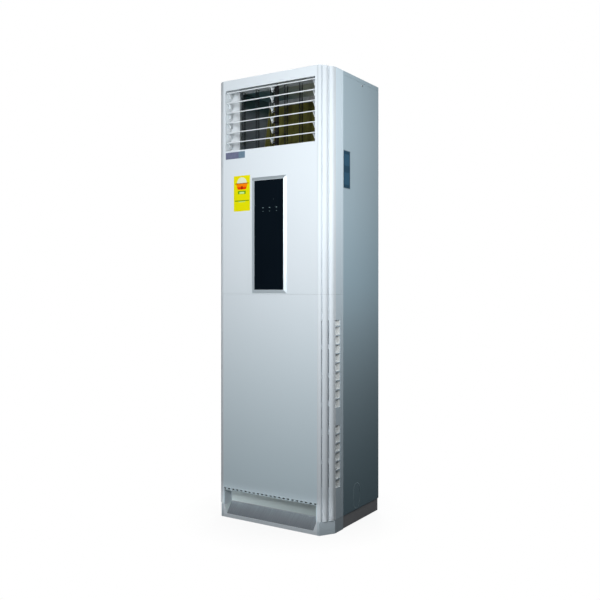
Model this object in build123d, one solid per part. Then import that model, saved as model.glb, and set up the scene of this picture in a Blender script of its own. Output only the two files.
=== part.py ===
from build123d import *
import math
import os

# Floor standing air conditioner, indoor cabinet. Millimetres, +Z up, front towards -Y.
# The origin is the middle of the footprint, on the floor.

# ------------------------------------------------------------------ driving sizes
WIDTH = 546.0            # across the side faces
DEPTH = 410.0            # from the flat front face to the outside of the back sheet
HEIGHT = 1780.0
SEAM_Z = 911.0           # joint between the upper and the lower front panel
PLINTH_H = 51.0          # height of the base band
DISPLAY_PROUD = 4.0      # the display stands this far out of the front face
HEAD_H = 1.6             # height of a screw head

SHEET = 1.0              # sheet steel
WALL = 3.0               # moulded plastic
SEAM = 0.5               # gap between neighbouring covers
RUNNING = 0.05           # radial clearance of a pin that turns in its bearing
LOOSE = 0.4              # clearance of a piece that slides or is clipped in
FLANGE = 16.0            # width of a bent sheet flange

# front corner column, in plan
CORNER_X = 36.0          # the slanting corner's run along the front
CORNER_Y = 55.0          # and along the side
COLUMN_DEPTH = 117.0     # front face to the column's rear edge
CORNER_WALL = 8.0        # thickness behind the slanting corner's beads
GROOVE_DEPTH = 3.5
GROOVE_1_AT = 8.0        # along the slant, from the flat front
GROOVE_1_W = 5.0
GROOVE_2_AT = 36.0
GROOVE_2_W = 6.5
BEAD_1_BULGE = 4.5
BEAD_2_BULGE = 4.0
BEAD_2_END = 2.0         # the second bead stops this short of the slant's end
LIP_AT = 102.0           # fine line on the column's side face, from the front face
LIP_LINE = 1.2
RETURN_W = 34.0          # inward return at the column's rear edge
INNER_GAP = 2.0          # column's rear edge to the inner pieces behind it

# air inlets of the lower column
SLOT_TOP = 812.0
SLOT_PITCH = 108.6
SLOT_LENGTH = 90.0
SLOT_COUNT = 6
SLOT_MARGIN = 0.6        # groove wall left beside a slot
CELL_PITCH = 34.8
CELL_HEIGHT = 30.0
CELL_Y = 58.0            # front edge of the inlet cells, from the front face
CELL_W = 37.0
CELL_DEPTH = 14.0
CELL_SLIT = 6.0          # open slit at the cell's front edge
UPPER_CELLS_TOP = 812.6
UPPER_CELLS = 10
SHORT_CELL = 21.0        # height of the first cell of the upper group
LOWER_CELLS_TOP = 409.5
LOWER_CELLS = 7

# toe recess and the slits above it
RECESS_HALF = 222.0
RECESS_TOP = 113.0
RECESS_DEPTH = 48.0
RECESS_LIP = 14.5        # height of the recess floor at its front edge
RECESS_RISE = 38.5       # rise of the recess floor towards the back
RECESS_SIDE_H = 32.5     # slanted corners at the floor's ends: height up the cheek at the front
RECESS_SIDE_W = 14.0     # and width along the front edge
FLUTE_PITCH = 10.5
FLUTE_DEPTH = 1.0
NOTCH_Z = 114.5
NOTCH_H = 5.5
NOTCH_W = 12.0
NOTCH_PITCH = 20.8
NOTCH_COUNT = 22

# air outlet
OUTLET_SIDE = 56.0       # opening's edge in from the side face
OUTLET_DOWN = 41.0       # opening's top below the cabinet's top
OUTLET_H = 247.0
CHAMBER_SIDE = 2.0       # the chamber is this much wider than the opening, each side
CHAMBER_BELOW = 6.0
CHAMBER_ABOVE = 13.0
CHAMBER_FLANGE = 5.0
SPLAY_FROM = 41.0        # side walls slant inwards from here, behind the front face
SPLAY_TO = 73.0
SPLAY_IN = 19.0

# horizontal louvre blades
BLADE_COUNT = 6
BLADE_DOWN = 8.0         # top blade's front edge below the opening's top
BLADE_PITCH = 40.8
BLADE_TILT = 14.0        # at rest the rear edge stands higher by this many degrees
BLADE_END_GAP = 3.0      # blade's end to the opening's edge
BLADE_DEPTH = 33.0
BLADE_THICK = 4.4
BLADE_REAR_T = 2.6
BLADE_SETBACK = 6.0      # front edge behind the front face
PIVOT_BACK = 22.0        # pivot behind the blade's front edge
PIVOT_DROP = 14.0        # and below it
LUG_THICK = 3.0
LUG_FROM = 2.5           # lug's top, from the blade's front edge
LUG_END = 1.0            # and from its rear edge
LUG_SHOULDER = 0.58      # share of the lug's height that stays below its shoulder
LUG_WAIST = 0.9          # width left at the shoulder, as a share of a plain taper's
LUG_TIP_R = 4.6
LEFT_LUG_IN = 3.0        # end lugs in from the blade's ends
RIGHT_LUG_IN = 14.0
PIN_R = 1.8
LINK_IN = 8.5            # the link rod's ears, in from the blade's right end
LINK_GAP = 9.0           # link pin behind the blade's rear edge, in the blade's plane
EAR_HALF_H = 3.3
LINK_W = 7.0
LINK_T = 4.0
SIDE_PLAY = 1.0          # gap beside a rod or an arm that a pin runs through
STRUT_Y = 50.8           # strut's front, from the front face
STRUT_W = 10.0
STRUT_D = 14.0

# upright swing vanes
VANE_COUNT = 6
VANE_PITCH = 71.3
VANE_DEPTH = 22.0
VANE_THICK = 2.0
VANE_AXIS = 70.8         # pivot line behind the front face
VANE_PIN_R = 2.0
VANE_PIN_IN = 8.0        # length of a pin inside the vane
VANE_LINK_ARM = 8.0
VANE_BELOW = 12.0        # vane's lower edge above the chamber floor
VANE_ABOVE = 6.0
DRIVEN_VANE = 4
SWING_MOTOR_R = 13.0
SWING_MOTOR_H = 19.0
SWING_SHAFT_IN = 9.0

# display
DISPLAY_X0 = -80.0
DISPLAY_W = 167.0
DISPLAY_UP = 4.0         # display's foot above the panels' joint
DISPLAY_H = 460.0
BEVEL = 11.8
RIM_T = 0.8              # height of the frame's outer edge
GLASS_EDGE = 1.5         # flat land between bevel and glass
GLASS_T = 3.0
GLASS_SUNK = 0.5
SHELL_INSET = 7.0        # back shell stands in from the frame's edge
SHELL_WALL = 4.0
SHELL_DEPTH = 16.0
GLASS_SEAT = 6.0         # ledge that the glass rests on
BOARD_T = 1.6
LAMP_TALL = 6.0
LAMPS_X = 8.0
LAMPS_Z = 1225.0
LAMPS_W = 85.0
LAMPS_H = 40.0
RECEIVER_X = -34.0
RECEIVER_Z = 987.0
RECEIVER_SIZE = 10.0

# badge and stickers
BADGE_X0 = -214.0
BADGE_Z0 = 1459.0
BADGE_W = 98.0
BADGE_H = 27.0
BADGE_T = 1.2
STICKER_T = 0.25
FRONT_STICKER_X0 = -173.0
FRONT_STICKER_Z0 = 1245.0
FRONT_STICKER_W = 82.0
FRONT_STICKER_H = 143.0
SIDE_STICKER_Y = 117.5   # front edge, from the front face
SIDE_STICKER_Z0 = 1324.0
SIDE_STICKER_W = 53.0
SIDE_STICKER_H = 149.0

# cabinet sheets
SKIRT = 15.0             # top cover's skirt
BASE_INSET = 3.0         # base band stands in by this much
TRAY_T = 1.5
TRAY_WALL_H = 44.0
ANCHOR_R = 5.5
ANCHOR_X = 190.0
ANCHOR_IN = 45.0         # rear anchor holes, from the back of the tray
ANCHOR_SPAN = 180.0      # front to rear anchor hole
STRAP_HOLE_R = 2.75
STRAP_X = 150.0
STRAP_DOWN = 80.0        # wall strap holes below the cabinet's top
SWAGE_ZS = (250.0, 640.0, 1030.0, 1420.0)
SWAGE_H = 20.0
SWAGE_D = 2.0
KNOCK_W = 48.0           # oblong pipe knock-out in each side panel
KNOCK_H = 98.0
KNOCK_Y = 223.0          # its middle, from the front face
KNOCK_Z = 106.0
KNOCK_SLIT = 1.4
KNOCK_BRIDGE = 14.0
BACK_KNOCK_R = 38.0
BACK_KNOCK_X = -165.0
SIDE_SCREW_Y = 268.0     # from the front face
SIDE_SCREW_DOWN = 26.0
SCREW_R = 1.9
SCREW_HOLE_R = 2.1
HEAD_R = 4.0
HEAD_ROUND = 0.6         # rounding of a head, as a share of its height
CROSS_L = 4.2
CROSS_W = 0.9
SHANK_L = 5.0
BACK_SCREW_ZS = (90.0, 470.0, 850.0, 1230.0, 1610.0)
BACK_SCREW_IN = 9.0
PEG_R = 3.0
PEG_L = 7.0
PEG_ZS = (120.0, 480.0, 870.0)
PEG_IN = 9.0

# shelf, coil and air duct
SHELF_Z = 805.0
SHELF_T = 1.2
SHELF_FLANGE = 30.0
PAN_H = 44.0
PAN_WALL = 4.0
COIL_T = 44.0
PAN_ROOM = 5.0           # coil's foot to the pan's front wall
PAN_REAR_ROOM = 4.0      # and to its rear wall
PAN_BEHIND = 4.0         # pan to the blower's housing
COIL_HEAD_Y = 334.0      # middle of the coil's head
COIL_HEAD_DOWN = 32.0    # coil's head below the cabinet's top
COIL_SUNK = 6.0          # coil's foot below the pan's rim
COIL_PLATE_T = 1.2
COIL_PLATE_EDGE = 2.0
WING_UP = 12.0           # coil plate's side wing starts this far up the coil
BAFFLE_GAP = 10.0        # coil's face to the sheet that closes the duct above it
BAFFLE_H = 25.0
BAFFLE_TOP = 30.0        # width of its top leaf
BEND_ROWS = 2
BEND_PITCH = 50.0
BEND_R = 12.5
TUBE_R = 4.75
FOAM = 12.0
TOP_FOAM = 22.0
BACK_FOAM = 5.0

# blower
BLOWER_X = -25.0
BLOWER_Z = 455.0
WHEEL_R = 165.0
WHEEL_W = 122.0
WHEEL_BLADES = 40
WHEEL_BLADE_T = 1.2
WHEEL_BLADE_DEPTH = 24.0
WHEEL_BLADE_LEAN = 7.0   # degrees, inner to outer edge
WHEEL_BLADE_BOW = 0.4
WHEEL_DISC_T = 2.0
WHEEL_GAP = 8.0          # wheel to the housing's front plate
SCROLL_GAP = 25.0        # wheel to the housing where the scroll begins
SCROLL_GROWTH = 18.0     # growth per quarter turn
SCROLL_W = 152.0
SCROLL_T = 2.0
INLET_OVERLAP = 2.0      # inlet ring's throat inside the blades' inner edge
INLET_FLANGE_W = 27.0
HOUSING_INLET_GAP = 6.0  # throat to the edge of the housing's hole
INLET_SHEET = 2.0
INLET_MOUTH = 4.0        # flare of the inlet ring's throat
HUB_R = 20.0
HUB_L = 26.0
SHAFT_R = 6.0
SHAFT_AHEAD = 6.0        # shaft's end in front of the hub
SHAFT_IN_MOTOR = 47.6
BORE_DEEPER = 1.4        # motor's bore beyond the shaft's end
MOTOR_R = 58.0
MOTOR_L = 56.0
BELL_R = 40.6            # narrow rear end of the motor
BELL_L = 10.0
MOTOR_GROOVE_AT = 18.0
MOTOR_GROOVE_W = 3.0
BRACKET = 170.0
BRACKET_T = 2.0

# filters
FILTER_IN = 28.0         # filter's middle plane in from the side face
FILTER_T = 6.0
FILTER_Z0 = 160.0
FILTER_Z1 = 820.0
FILTER_Y0 = 38.0         # from the front face
FILTER_BAR = 5.0
RAIL = 3.0
RAIL_GRIP = 7.0
NET_T = 0.8

# control box
BOX_HALF = 165.0
BOX_H = 128.0
BOX_DEPTH = 92.0
BOX_DOWN = 10.0          # box top below the shelf
BOX_MARGIN = 15.0
POWER_BOARD_W = 165.0
STANDOFF_L = 10.0
STANDOFF_R = 3.0
COIL_BOX = 30.0
RELAYS = 3
RELAY = 15.0
TERMINALS = 6
TERMINAL_PITCH = 14.0
TERMINAL_H = 22.0
CAPACITOR_W = 50.0
CAPACITOR_H = 30.0
TAB_W = 5.0
TAB_T = 0.8

# pipes
GAS_R = 7.95
LIQUID_R = 4.75
GAS_IN = 28.0            # pipe axis in from the side face
LIQUID_IN = 10.0
GAS_TAP = 48.0           # tapping point up the coil
LIQUID_TAP = 90.0
PIPE_END_Z = 130.0
DRAIN_R = 9.0
DRAIN_IN = 27.0
DRAIN_UP = 14.0          # spout's axis above the pan's floor

# ------------------------------------------------------------------ derived places
HALF = WIDTH / 2
OUTLET_HALF = HALF - OUTLET_SIDE
OUTLET_Z1 = HEIGHT - OUTLET_DOWN
OUTLET_Z0 = OUTLET_Z1 - OUTLET_H
DISPLAY_Z0 = SEAM_Z + DISPLAY_UP
DISPLAY_Z1 = DISPLAY_Z0 + DISPLAY_H
FRONT_Y = -(DEPTH + DISPLAY_PROUD + HEAD_H) / 2 + DISPLAY_PROUD
BACK_Y = FRONT_Y + DEPTH
FLAT_HALF = HALF - CORNER_X
COLUMN_Y = FRONT_Y + COLUMN_DEPTH
SHEET_Y = COLUMN_Y + SEAM
INNER_Y = COLUMN_Y + INNER_GAP
SHEET_TOP = HEIGHT - SKIRT - SEAM
DISPLAY_X = DISPLAY_X0 + DISPLAY_W / 2
CHAMBER_HALF = OUTLET_HALF + CHAMBER_SIDE
CHAMBER_Z0 = OUTLET_Z0 - CHAMBER_BELOW
CHAMBER_Z1 = OUTLET_Z1 + CHAMBER_ABOVE
BLADE_Y0 = FRONT_Y + BLADE_SETBACK
BLADE_TOP_Z = OUTLET_Z1 - BLADE_DOWN
BLADE_HALF = OUTLET_HALF - BLADE_END_GAP
LEFT_LUG_X = LEFT_LUG_IN - BLADE_HALF
RIGHT_LUG_X = BLADE_HALF - RIGHT_LUG_IN
LINK_X = BLADE_HALF - LINK_IN
LINK_BACK = BLADE_DEPTH + LINK_GAP
PIVOT_Y = BLADE_Y0 + PIVOT_BACK
TILT_Y = math.cos(math.radians(BLADE_TILT))
TILT_Z = math.sin(math.radians(BLADE_TILT))
LINK_ARM = LINK_BACK * TILT_Y - PIVOT_BACK
LINK_RISE = LINK_BACK * TILT_Z + PIVOT_DROP
VANE_Y = FRONT_Y + VANE_AXIS
SHELF_TOP = SHELF_Z + SHELF_T
PAN_TOP = SHELF_TOP + PAN_H
PAN_Y1 = INNER_Y + 2 * PAN_WALL + PAN_ROOM + COIL_T + PAN_REAR_ROOM
SCROLL_Y0 = PAN_Y1 + PAN_BEHIND
SCROLL_Y1 = SCROLL_Y0 + SCROLL_W
COIL_HALF = CHAMBER_HALF
COIL_FOOT = Vector(0, INNER_Y + PAN_WALL + PAN_ROOM + COIL_T / 2, PAN_TOP - COIL_SUNK)
COIL_HEAD = Vector(0, FRONT_Y + COIL_HEAD_Y, HEIGHT - COIL_HEAD_DOWN)
COIL_LENGTH = (COIL_HEAD - COIL_FOOT).length
SCROLL_R = WHEEL_R + SCROLL_GAP
INLET_R = WHEEL_R - WHEEL_BLADE_DEPTH - INLET_OVERLAP
WHEEL_Y0 = SCROLL_Y0 + SCROLL_T + WHEEL_GAP
WHEEL_Y1 = WHEEL_Y0 + WHEEL_W
MOTOR_Y0 = SCROLL_Y1 + BRACKET_T
BOX_Z1 = SHELF_Z - BOX_DOWN
BOX_Z0 = BOX_Z1 - BOX_H
BOX_Y0 = INNER_Y - BOX_DEPTH


# ------------------------------------------------------------------ shared shapes
def block(x0, x1, y0, y1, z0, z1):
    """A box between two corners."""
    middle = Pos((x0 + x1) / 2, (y0 + y1) / 2, (z0 + z1) / 2)
    return middle * Box(abs(x1 - x0), abs(y1 - y0), abs(z1 - z0))


def bar(start, end, radius):
    """A round bar between two points."""
    start, end = Vector(*start), Vector(*end)
    return Plane(origin=(start + end) * 0.5, z_dir=end - start) * Cylinder(radius, (end - start).length)


def prism_x(points, x0, x1):
    """A bar along X with a section of (y, z) points."""
    section = Plane.YZ.offset(x0) * make_face(Polyline(*points, close=True))
    return extrude(section, x1 - x0, dir=(1, 0, 0))


def prism_y(points, y0, y1):
    """A bar along Y with a section of (x, z) points."""
    section = Plane.XZ.offset(-y0) * make_face(Polyline(*points, close=True))
    return extrude(section, y1 - y0, dir=(0, 1, 0))


def prism_z(points, z0, z1):
    """An upright bar with a section of (x, y) points."""
    section = Pos(0, 0, z0) * make_face(Polyline(*points, close=True))
    return extrude(section, z1 - z0, dir=(0, 0, 1))


def mirrored(shape):
    """The same shape on the cabinet's left."""
    return mirror(shape, about=Plane.YZ)


def save(shape, node):
    export_step(shape, "parts/" + node + ".step")


# ------------------------------------------------------------------ front corner columns
def corner_frame():
    """Start, direction and outward direction of the right-hand corner's slant, in plan."""
    start = Vector(FLAT_HALF, FRONT_Y)
    along = (Vector(HALF, FRONT_Y + CORNER_Y) - start).normalized()
    return start, along, Vector(along.Y, -along.X)


def on_slant(side, distance, height=0.0):
    """A plan point beside the slant: distance along it, height out of it."""
    start, along, out = corner_frame()
    point = start + along * distance + out * height
    return side * point.X, point.Y


def slant_at_y(inset, y):
    """x where the line inset from the slant meets a given y."""
    start, along, out = corner_frame()
    base = start - out * inset
    return base.X + along.X * (y - base.Y) / along.Y


def slant_at_x(inset, x):
    """y where the line inset from the slant meets a given x."""
    start, along, out = corner_frame()
    base = start - out * inset
    return base.Y + along.Y * (x - base.X) / along.X


def groove_edges(side, start, width):
    slope = width / 6
    return Polyline(
        on_slant(side, start),
        on_slant(side, start + slope, -GROOVE_DEPTH),
        on_slant(side, start + width - slope, -GROOVE_DEPTH),
        on_slant(side, start + width),
    ).edges()


def bead_edge(side, start, end, bulge):
    return ThreePointArc(
        on_slant(side, start), on_slant(side, (start + end) / 2, bulge), on_slant(side, end)
    )


def column_edges(side):
    """Outer plan edges of one column, from the flat front to its rear edge."""
    slant = math.hypot(CORNER_X, CORNER_Y)
    flat_end = (side * (FLAT_HALF - GROOVE_1_AT), FRONT_Y)
    groove_1_end = GROOVE_1_AT + GROOVE_1_W
    groove_2_end = GROOVE_2_AT + GROOVE_2_W
    bead_2_end = slant - BEAD_2_END
    lip_y = FRONT_Y + LIP_AT
    edges = [TangentArc(flat_end, on_slant(side, GROOVE_1_AT), tangent=(side, 0))]
    edges += groove_edges(side, GROOVE_1_AT, GROOVE_1_W)
    edges.append(bead_edge(side, groove_1_end, GROOVE_2_AT, BEAD_1_BULGE))
    edges += groove_edges(side, GROOVE_2_AT, GROOVE_2_W)
    edges.append(bead_edge(side, groove_2_end, bead_2_end, BEAD_2_BULGE))
    edges += Polyline(
        on_slant(side, bead_2_end),
        (side * HALF, FRONT_Y + CORNER_Y + BEAD_2_END),
        (side * HALF, lip_y),
        (side * (HALF - LIP_LINE), lip_y + LIP_LINE / 2),
        (side * HALF, lip_y + LIP_LINE),
        (side * HALF, COLUMN_Y),
    ).edges()
    return edges, flat_end


def front_outline():
    """The front panels' outer plan shape, columns and all, as one face."""
    right, right_end = column_edges(1)
    left, left_end = column_edges(-1)
    closing = [Line(left_end, right_end), Line((-HALF, COLUMN_Y), (HALF, COLUMN_Y))]
    return make_face([edge for edge in right + left + closing])


def foot_outline():
    """The plain plan shape of the column feet, without beads or grooves."""
    right = [(FLAT_HALF, FRONT_Y), (HALF, FRONT_Y + CORNER_Y), (HALF, COLUMN_Y)]
    left = [(-x, y) for x, y in reversed(right)]
    return make_face(Polyline(*right, *left, close=True))


def front_hollow():
    """The plan shape of the space inside the front panels."""
    inner_x = slant_at_y(CORNER_WALL, FRONT_Y + WALL)
    inner_y = slant_at_x(CORNER_WALL, HALF - WALL)
    right = [(inner_x, FRONT_Y + WALL), (HALF - WALL, inner_y), (HALF - WALL, COLUMN_Y - WALL)]
    left = [(-x, y) for x, y in reversed(right)]
    return right + left


def front_shell(outline, z0, z1):
    """Front wall and both columns with their inward returns, between two heights."""
    shell = extrude(Pos(0, 0, z0) * outline, z1 - z0, dir=(0, 0, 1))
    shell -= prism_z(front_hollow(), z0 - 1, z1 + 1)
    gap = HALF - WALL - RETURN_W
    return shell - block(-gap, gap, COLUMN_Y - WALL - 1, COLUMN_Y + 1, z0 - 1, z1 + 1)


# ------------------------------------------------------------------ front panels
def upper_front_panel():
    z0 = SEAM_Z + SEAM / 2
    panel = front_shell(front_outline(), z0, HEIGHT)
    panel += extrude(Pos(0, 0, HEIGHT - WALL) * front_outline(), WALL, dir=(0, 0, 1))
    lip = FLAT_HALF - CORNER_WALL
    panel += block(-lip, lip, FRONT_Y + WALL / 2, FRONT_Y + FLANGE, z0, z0 + WALL)
    panel -= block(-OUTLET_HALF, OUTLET_HALF, FRONT_Y - 1, FRONT_Y + WALL + 1, OUTLET_Z0, OUTLET_Z1)
    x0, x1, low, high = display_box(SHELL_INSET - LOOSE)
    return panel - block(x0, x1, FRONT_Y - 1, FRONT_Y + FLANGE + 1, low, high)


def inlet_cells():
    """Heights of the inlet cells, as (bottom, top), in both groups."""
    cells = []
    for top, count, first in (
        (UPPER_CELLS_TOP, UPPER_CELLS, SHORT_CELL),
        (LOWER_CELLS_TOP, LOWER_CELLS, CELL_HEIGHT),
    ):
        web = CELL_PITCH - CELL_HEIGHT
        for index in range(count):
            height = first if index == 0 else CELL_HEIGHT
            cells.append((top - height, top))
            top -= height + web
    return cells


def cell_body():
    """Plan section of the thick wall that the inlet cells are sunk into."""
    y0 = FRONT_Y + CELL_Y
    y1 = y0 + CELL_W
    inner = HALF - CELL_DEPTH - WALL
    ramp = [(HALF - WALL, y1 + WALL), (inner, y0 + CELL_SLIT + WALL), (inner, y0)]
    return [(HALF - 1, y0), (HALF - 1, y1)] + ramp


def cell_pocket():
    """Plan section of one cell: a ramp from the rear edge inwards, with a slit at the front edge."""
    y0 = FRONT_Y + CELL_Y
    y1 = y0 + CELL_W
    deep = HALF - CELL_DEPTH
    through = deep - 2 * WALL
    slit = [(deep, y0 + CELL_SLIT), (through, y0 + CELL_SLIT), (through, y0)]
    return [(HALF + 1, y0), (HALF + 1, y1), (HALF, y1)] + slit


def add_inlet_cells(panel):
    """Both columns' side-face cells."""
    cells = inlet_cells()
    margin = CELL_PITCH - CELL_HEIGHT
    split = UPPER_CELLS
    for group in (cells[:split], cells[split:]):
        body = prism_z(cell_body(), group[-1][0] - margin, group[0][1] + margin)
        panel += [body, mirrored(body)]
    pockets = [prism_z(cell_pocket(), low, high) for low, high in cells]
    return panel - pockets - [mirrored(pocket) for pocket in pockets]


def column_slots():
    """Through slots in the columns' two grooves."""
    slots = []
    for start, width in ((GROOVE_1_AT, GROOVE_1_W), (GROOVE_2_AT, GROOVE_2_W)):
        near = start + width / 6 + SLOT_MARGIN
        far = start + width - width / 6 - SLOT_MARGIN
        inside = -2 * CORNER_WALL
        section = [on_slant(1, near, 1), on_slant(1, far, 1)]
        section += [on_slant(1, far, inside), on_slant(1, near, inside)]
        for index in range(SLOT_COUNT):
            top = SLOT_TOP - index * SLOT_PITCH
            slots.append(prism_z(section, top - SLOT_LENGTH, top))
    return slots + [mirrored(slot) for slot in slots]


def front_notches():
    """The row of short slits above the toe recess."""
    notches = []
    half = NOTCH_W / 2
    y0, y1 = FRONT_Y - 1, FRONT_Y + WALL + 1
    for index in range(NOTCH_COUNT):
        middle = (index - (NOTCH_COUNT - 1) / 2) * NOTCH_PITCH
        notches.append(block(middle - half, middle + half, y0, y1, NOTCH_Z, NOTCH_Z + NOTCH_H))
    return notches


def filter_rails():
    """Front and rear rails of the right-hand filter, with the stop that it stands on."""
    middle = HALF - FILTER_IN
    inside = FILTER_T / 2 + LOOSE
    outside = inside + RAIL
    front = FRONT_Y + FILTER_Y0
    rear = COLUMN_Y - WALL
    z0, z1 = FILTER_Z0 - RAIL, FILTER_Z1 - FILTER_BAR
    x0, x1 = middle - outside, middle + outside
    rails = block(x0, x1, front - 2.2 * RAIL_GRIP, front + RAIL_GRIP, z0, z1)
    rails += block(x0, x1, rear - RAIL_GRIP, rear + WALL / 2, z0, z1)
    room = block(middle - inside, middle + inside, front - LOOSE, rear - LOOSE / 2, FILTER_Z0, z1 + 1)
    return rails - room


def panel_pegs():
    """Snap pegs on the lower panel's right-hand return."""
    x = HALF - PEG_IN
    return [bar((x, COLUMN_Y - WALL / 2, z), (x, COLUMN_Y + PEG_L, z), PEG_R) for z in PEG_ZS]


def lower_front_panel():
    z0, z1 = PLINTH_H + SEAM / 2, SEAM_Z - SEAM / 2
    panel = front_shell(front_outline(), z0, z1)
    lip = FLAT_HALF - CORNER_WALL
    panel += block(-lip, lip, FRONT_Y + WALL / 2, FRONT_Y + FLANGE, z1 - WALL, z1)
    panel = add_inlet_cells(panel)
    rails = filter_rails()
    panel += [rails, mirrored(rails)]
    panel -= block(-RECESS_HALF, RECESS_HALF, FRONT_Y - 1, FRONT_Y + WALL + 1, z0 - 1, RECESS_TOP)
    panel = panel - column_slots() - front_notches()
    pegs = panel_pegs()
    return panel + pegs + [mirrored(peg) for peg in pegs]


# ------------------------------------------------------------------ base
def recess_floor():
    """Fluted floor of the toe recess, rising to the back."""
    count = int(2 * RECESS_HALF / FLUTE_PITCH)
    start = -count * FLUTE_PITCH / 2
    top = [(-RECESS_HALF, RECESS_LIP)]
    for index in range(count):
        x = start + index * FLUTE_PITCH
        top += [(x + 0.35 * FLUTE_PITCH, RECESS_LIP), (x + 0.5 * FLUTE_PITCH, RECESS_LIP - FLUTE_DEPTH)]
        top += [(x + 0.65 * FLUTE_PITCH, RECESS_LIP)]
    top.append((RECESS_HALF, RECESS_LIP))
    points = top + [(RECESS_HALF, RECESS_LIP - WALL), (-RECESS_HALF, RECESS_LIP - WALL)]
    section = Plane.XZ.offset(-(FRONT_Y + WALL / 2)) * make_face(Polyline(*points, close=True))
    slope = Vector(0, RECESS_DEPTH + WALL / 2, RECESS_RISE)
    return extrude(section, slope.length, dir=slope.normalized())


def recess_side():
    """Slanted corner between the recess floor and its right-hand cheek."""
    y0, y1 = FRONT_Y + WALL / 2, FRONT_Y + RECESS_DEPTH + WALL
    z0, z1 = RECESS_LIP, RECESS_LIP + RECESS_RISE
    foot = Vector(RECESS_HALF - RECESS_SIDE_W, y0, z0)
    edge = Vector(RECESS_HALF, y0, z0 + RECESS_SIDE_H)
    rear = Vector(RECESS_HALF, y1, z1)
    slope = Plane(origin=foot, x_dir=edge - foot, z_dir=(edge - foot).cross(rear - foot))
    above_floor = [(y0, z0 - WALL / 2), (y1, z1 - WALL / 2), (y1, z1), (y0, z1)]
    corner = prism_x(above_floor, foot.X, RECESS_HALF + WALL / 2)
    return split(corner, bisect_by=slope, keep=Keep.BOTTOM)


def toe_kick():
    """Front of the base: both column feet and the toe recess between them."""
    top = PLINTH_H - SEAM / 2
    back = FRONT_Y + RECESS_DEPTH
    ceiling = RECESS_TOP - SEAM
    foot = front_shell(foot_outline(), 0, top)
    foot -= block(-RECESS_HALF, RECESS_HALF, FRONT_Y - 1, FRONT_Y + WALL + 1, RECESS_LIP, top + 1)
    outer = RECESS_HALF + WALL
    behind = FRONT_Y + WALL + LOOSE
    cheek = block(RECESS_HALF, outer, FRONT_Y + WALL / 2, back + WALL, 0, top)
    cheek += block(RECESS_HALF, outer, behind, back + WALL, top - 1, ceiling)
    roof = block(-outer, outer, behind, back + WALL, ceiling - WALL, ceiling)
    rear = block(-outer, outer, back, back + WALL, 0, ceiling)
    side = recess_side()
    return foot + [cheek, mirrored(cheek), roof, rear, recess_floor(), side, mirrored(side)]


def base_plinth():
    """Side and rear band of the base."""
    outer = HALF - BASE_INSET
    inner = outer - WALL
    rear = BACK_Y - BASE_INSET
    top = PLINTH_H - SEAM / 2
    band = block(-outer, outer, SHEET_Y, rear, 0, top)
    band -= block(-inner, inner, SHEET_Y - 1, rear - WALL, -1, top + 1)
    shelf = block(inner - FLANGE / 2, inner + 1, SHEET_Y, rear - 1, top - WALL, top)
    return band + [shelf, mirrored(shelf)]


def tray_box():
    """Plan limits of the steel base tray."""
    half = HALF - BASE_INSET - WALL
    return half, FRONT_Y + RECESS_DEPTH + WALL, BACK_Y - BASE_INSET - WALL


def anchor_places():
    """Floor anchor holes, in plan."""
    rear = tray_box()[2] - ANCHOR_IN
    return [(x, y) for x in (-ANCHOR_X, ANCHOR_X) for y in (rear - ANCHOR_SPAN, rear)]


def base_tray():
    half, y0, y1 = tray_box()
    feet = COLUMN_Y + SEAM
    narrow = HALF - WALL - RETURN_W
    tray = block(-half, half, feet, y1, 0, TRAY_WALL_H)
    tray += block(-narrow, narrow, y0, feet + 1, 0, TRAY_WALL_H)
    top = TRAY_WALL_H + 1
    hollow = block(-half + TRAY_T, half - TRAY_T, feet + TRAY_T, y1 - TRAY_T, TRAY_T, top)
    hollow += block(-narrow + TRAY_T, narrow - TRAY_T, y0 + TRAY_T, feet + 2 * TRAY_T, TRAY_T, top)
    holes = [bar((x, y, -1), (x, y, TRAY_T + 1), ANCHOR_R) for x, y in anchor_places()]
    return tray - hollow - holes


# ------------------------------------------------------------------ cabinet sheets
def side_screw_place():
    return FRONT_Y + SIDE_SCREW_Y, HEIGHT - SIDE_SCREW_DOWN


def side_knock_out():
    """Slits of the oblong pipe knock-out in the right-hand side panel."""
    middle = Plane.YZ.offset(HALF - 2 * SHEET) * Location((FRONT_Y + KNOCK_Y, KNOCK_Z, 0))
    outer = SlotOverall(KNOCK_H, KNOCK_W, rotation=90)
    inner = SlotOverall(KNOCK_H - 2 * KNOCK_SLIT, KNOCK_W - 2 * KNOCK_SLIT, rotation=90)
    ring = extrude(middle * (outer - inner), 3 * SHEET, dir=(1, 0, 0))
    y, z = FRONT_Y + KNOCK_Y, KNOCK_Z
    reach = KNOCK_H
    upright = block(HALF - 3, HALF + 3, y - KNOCK_BRIDGE, y + KNOCK_BRIDGE, z - reach, z + reach)
    level = block(HALF - 3, HALF + 3, y - reach, y + reach, z - KNOCK_BRIDGE / 2, z + KNOCK_BRIDGE / 2)
    return ring - [upright, level]


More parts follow.
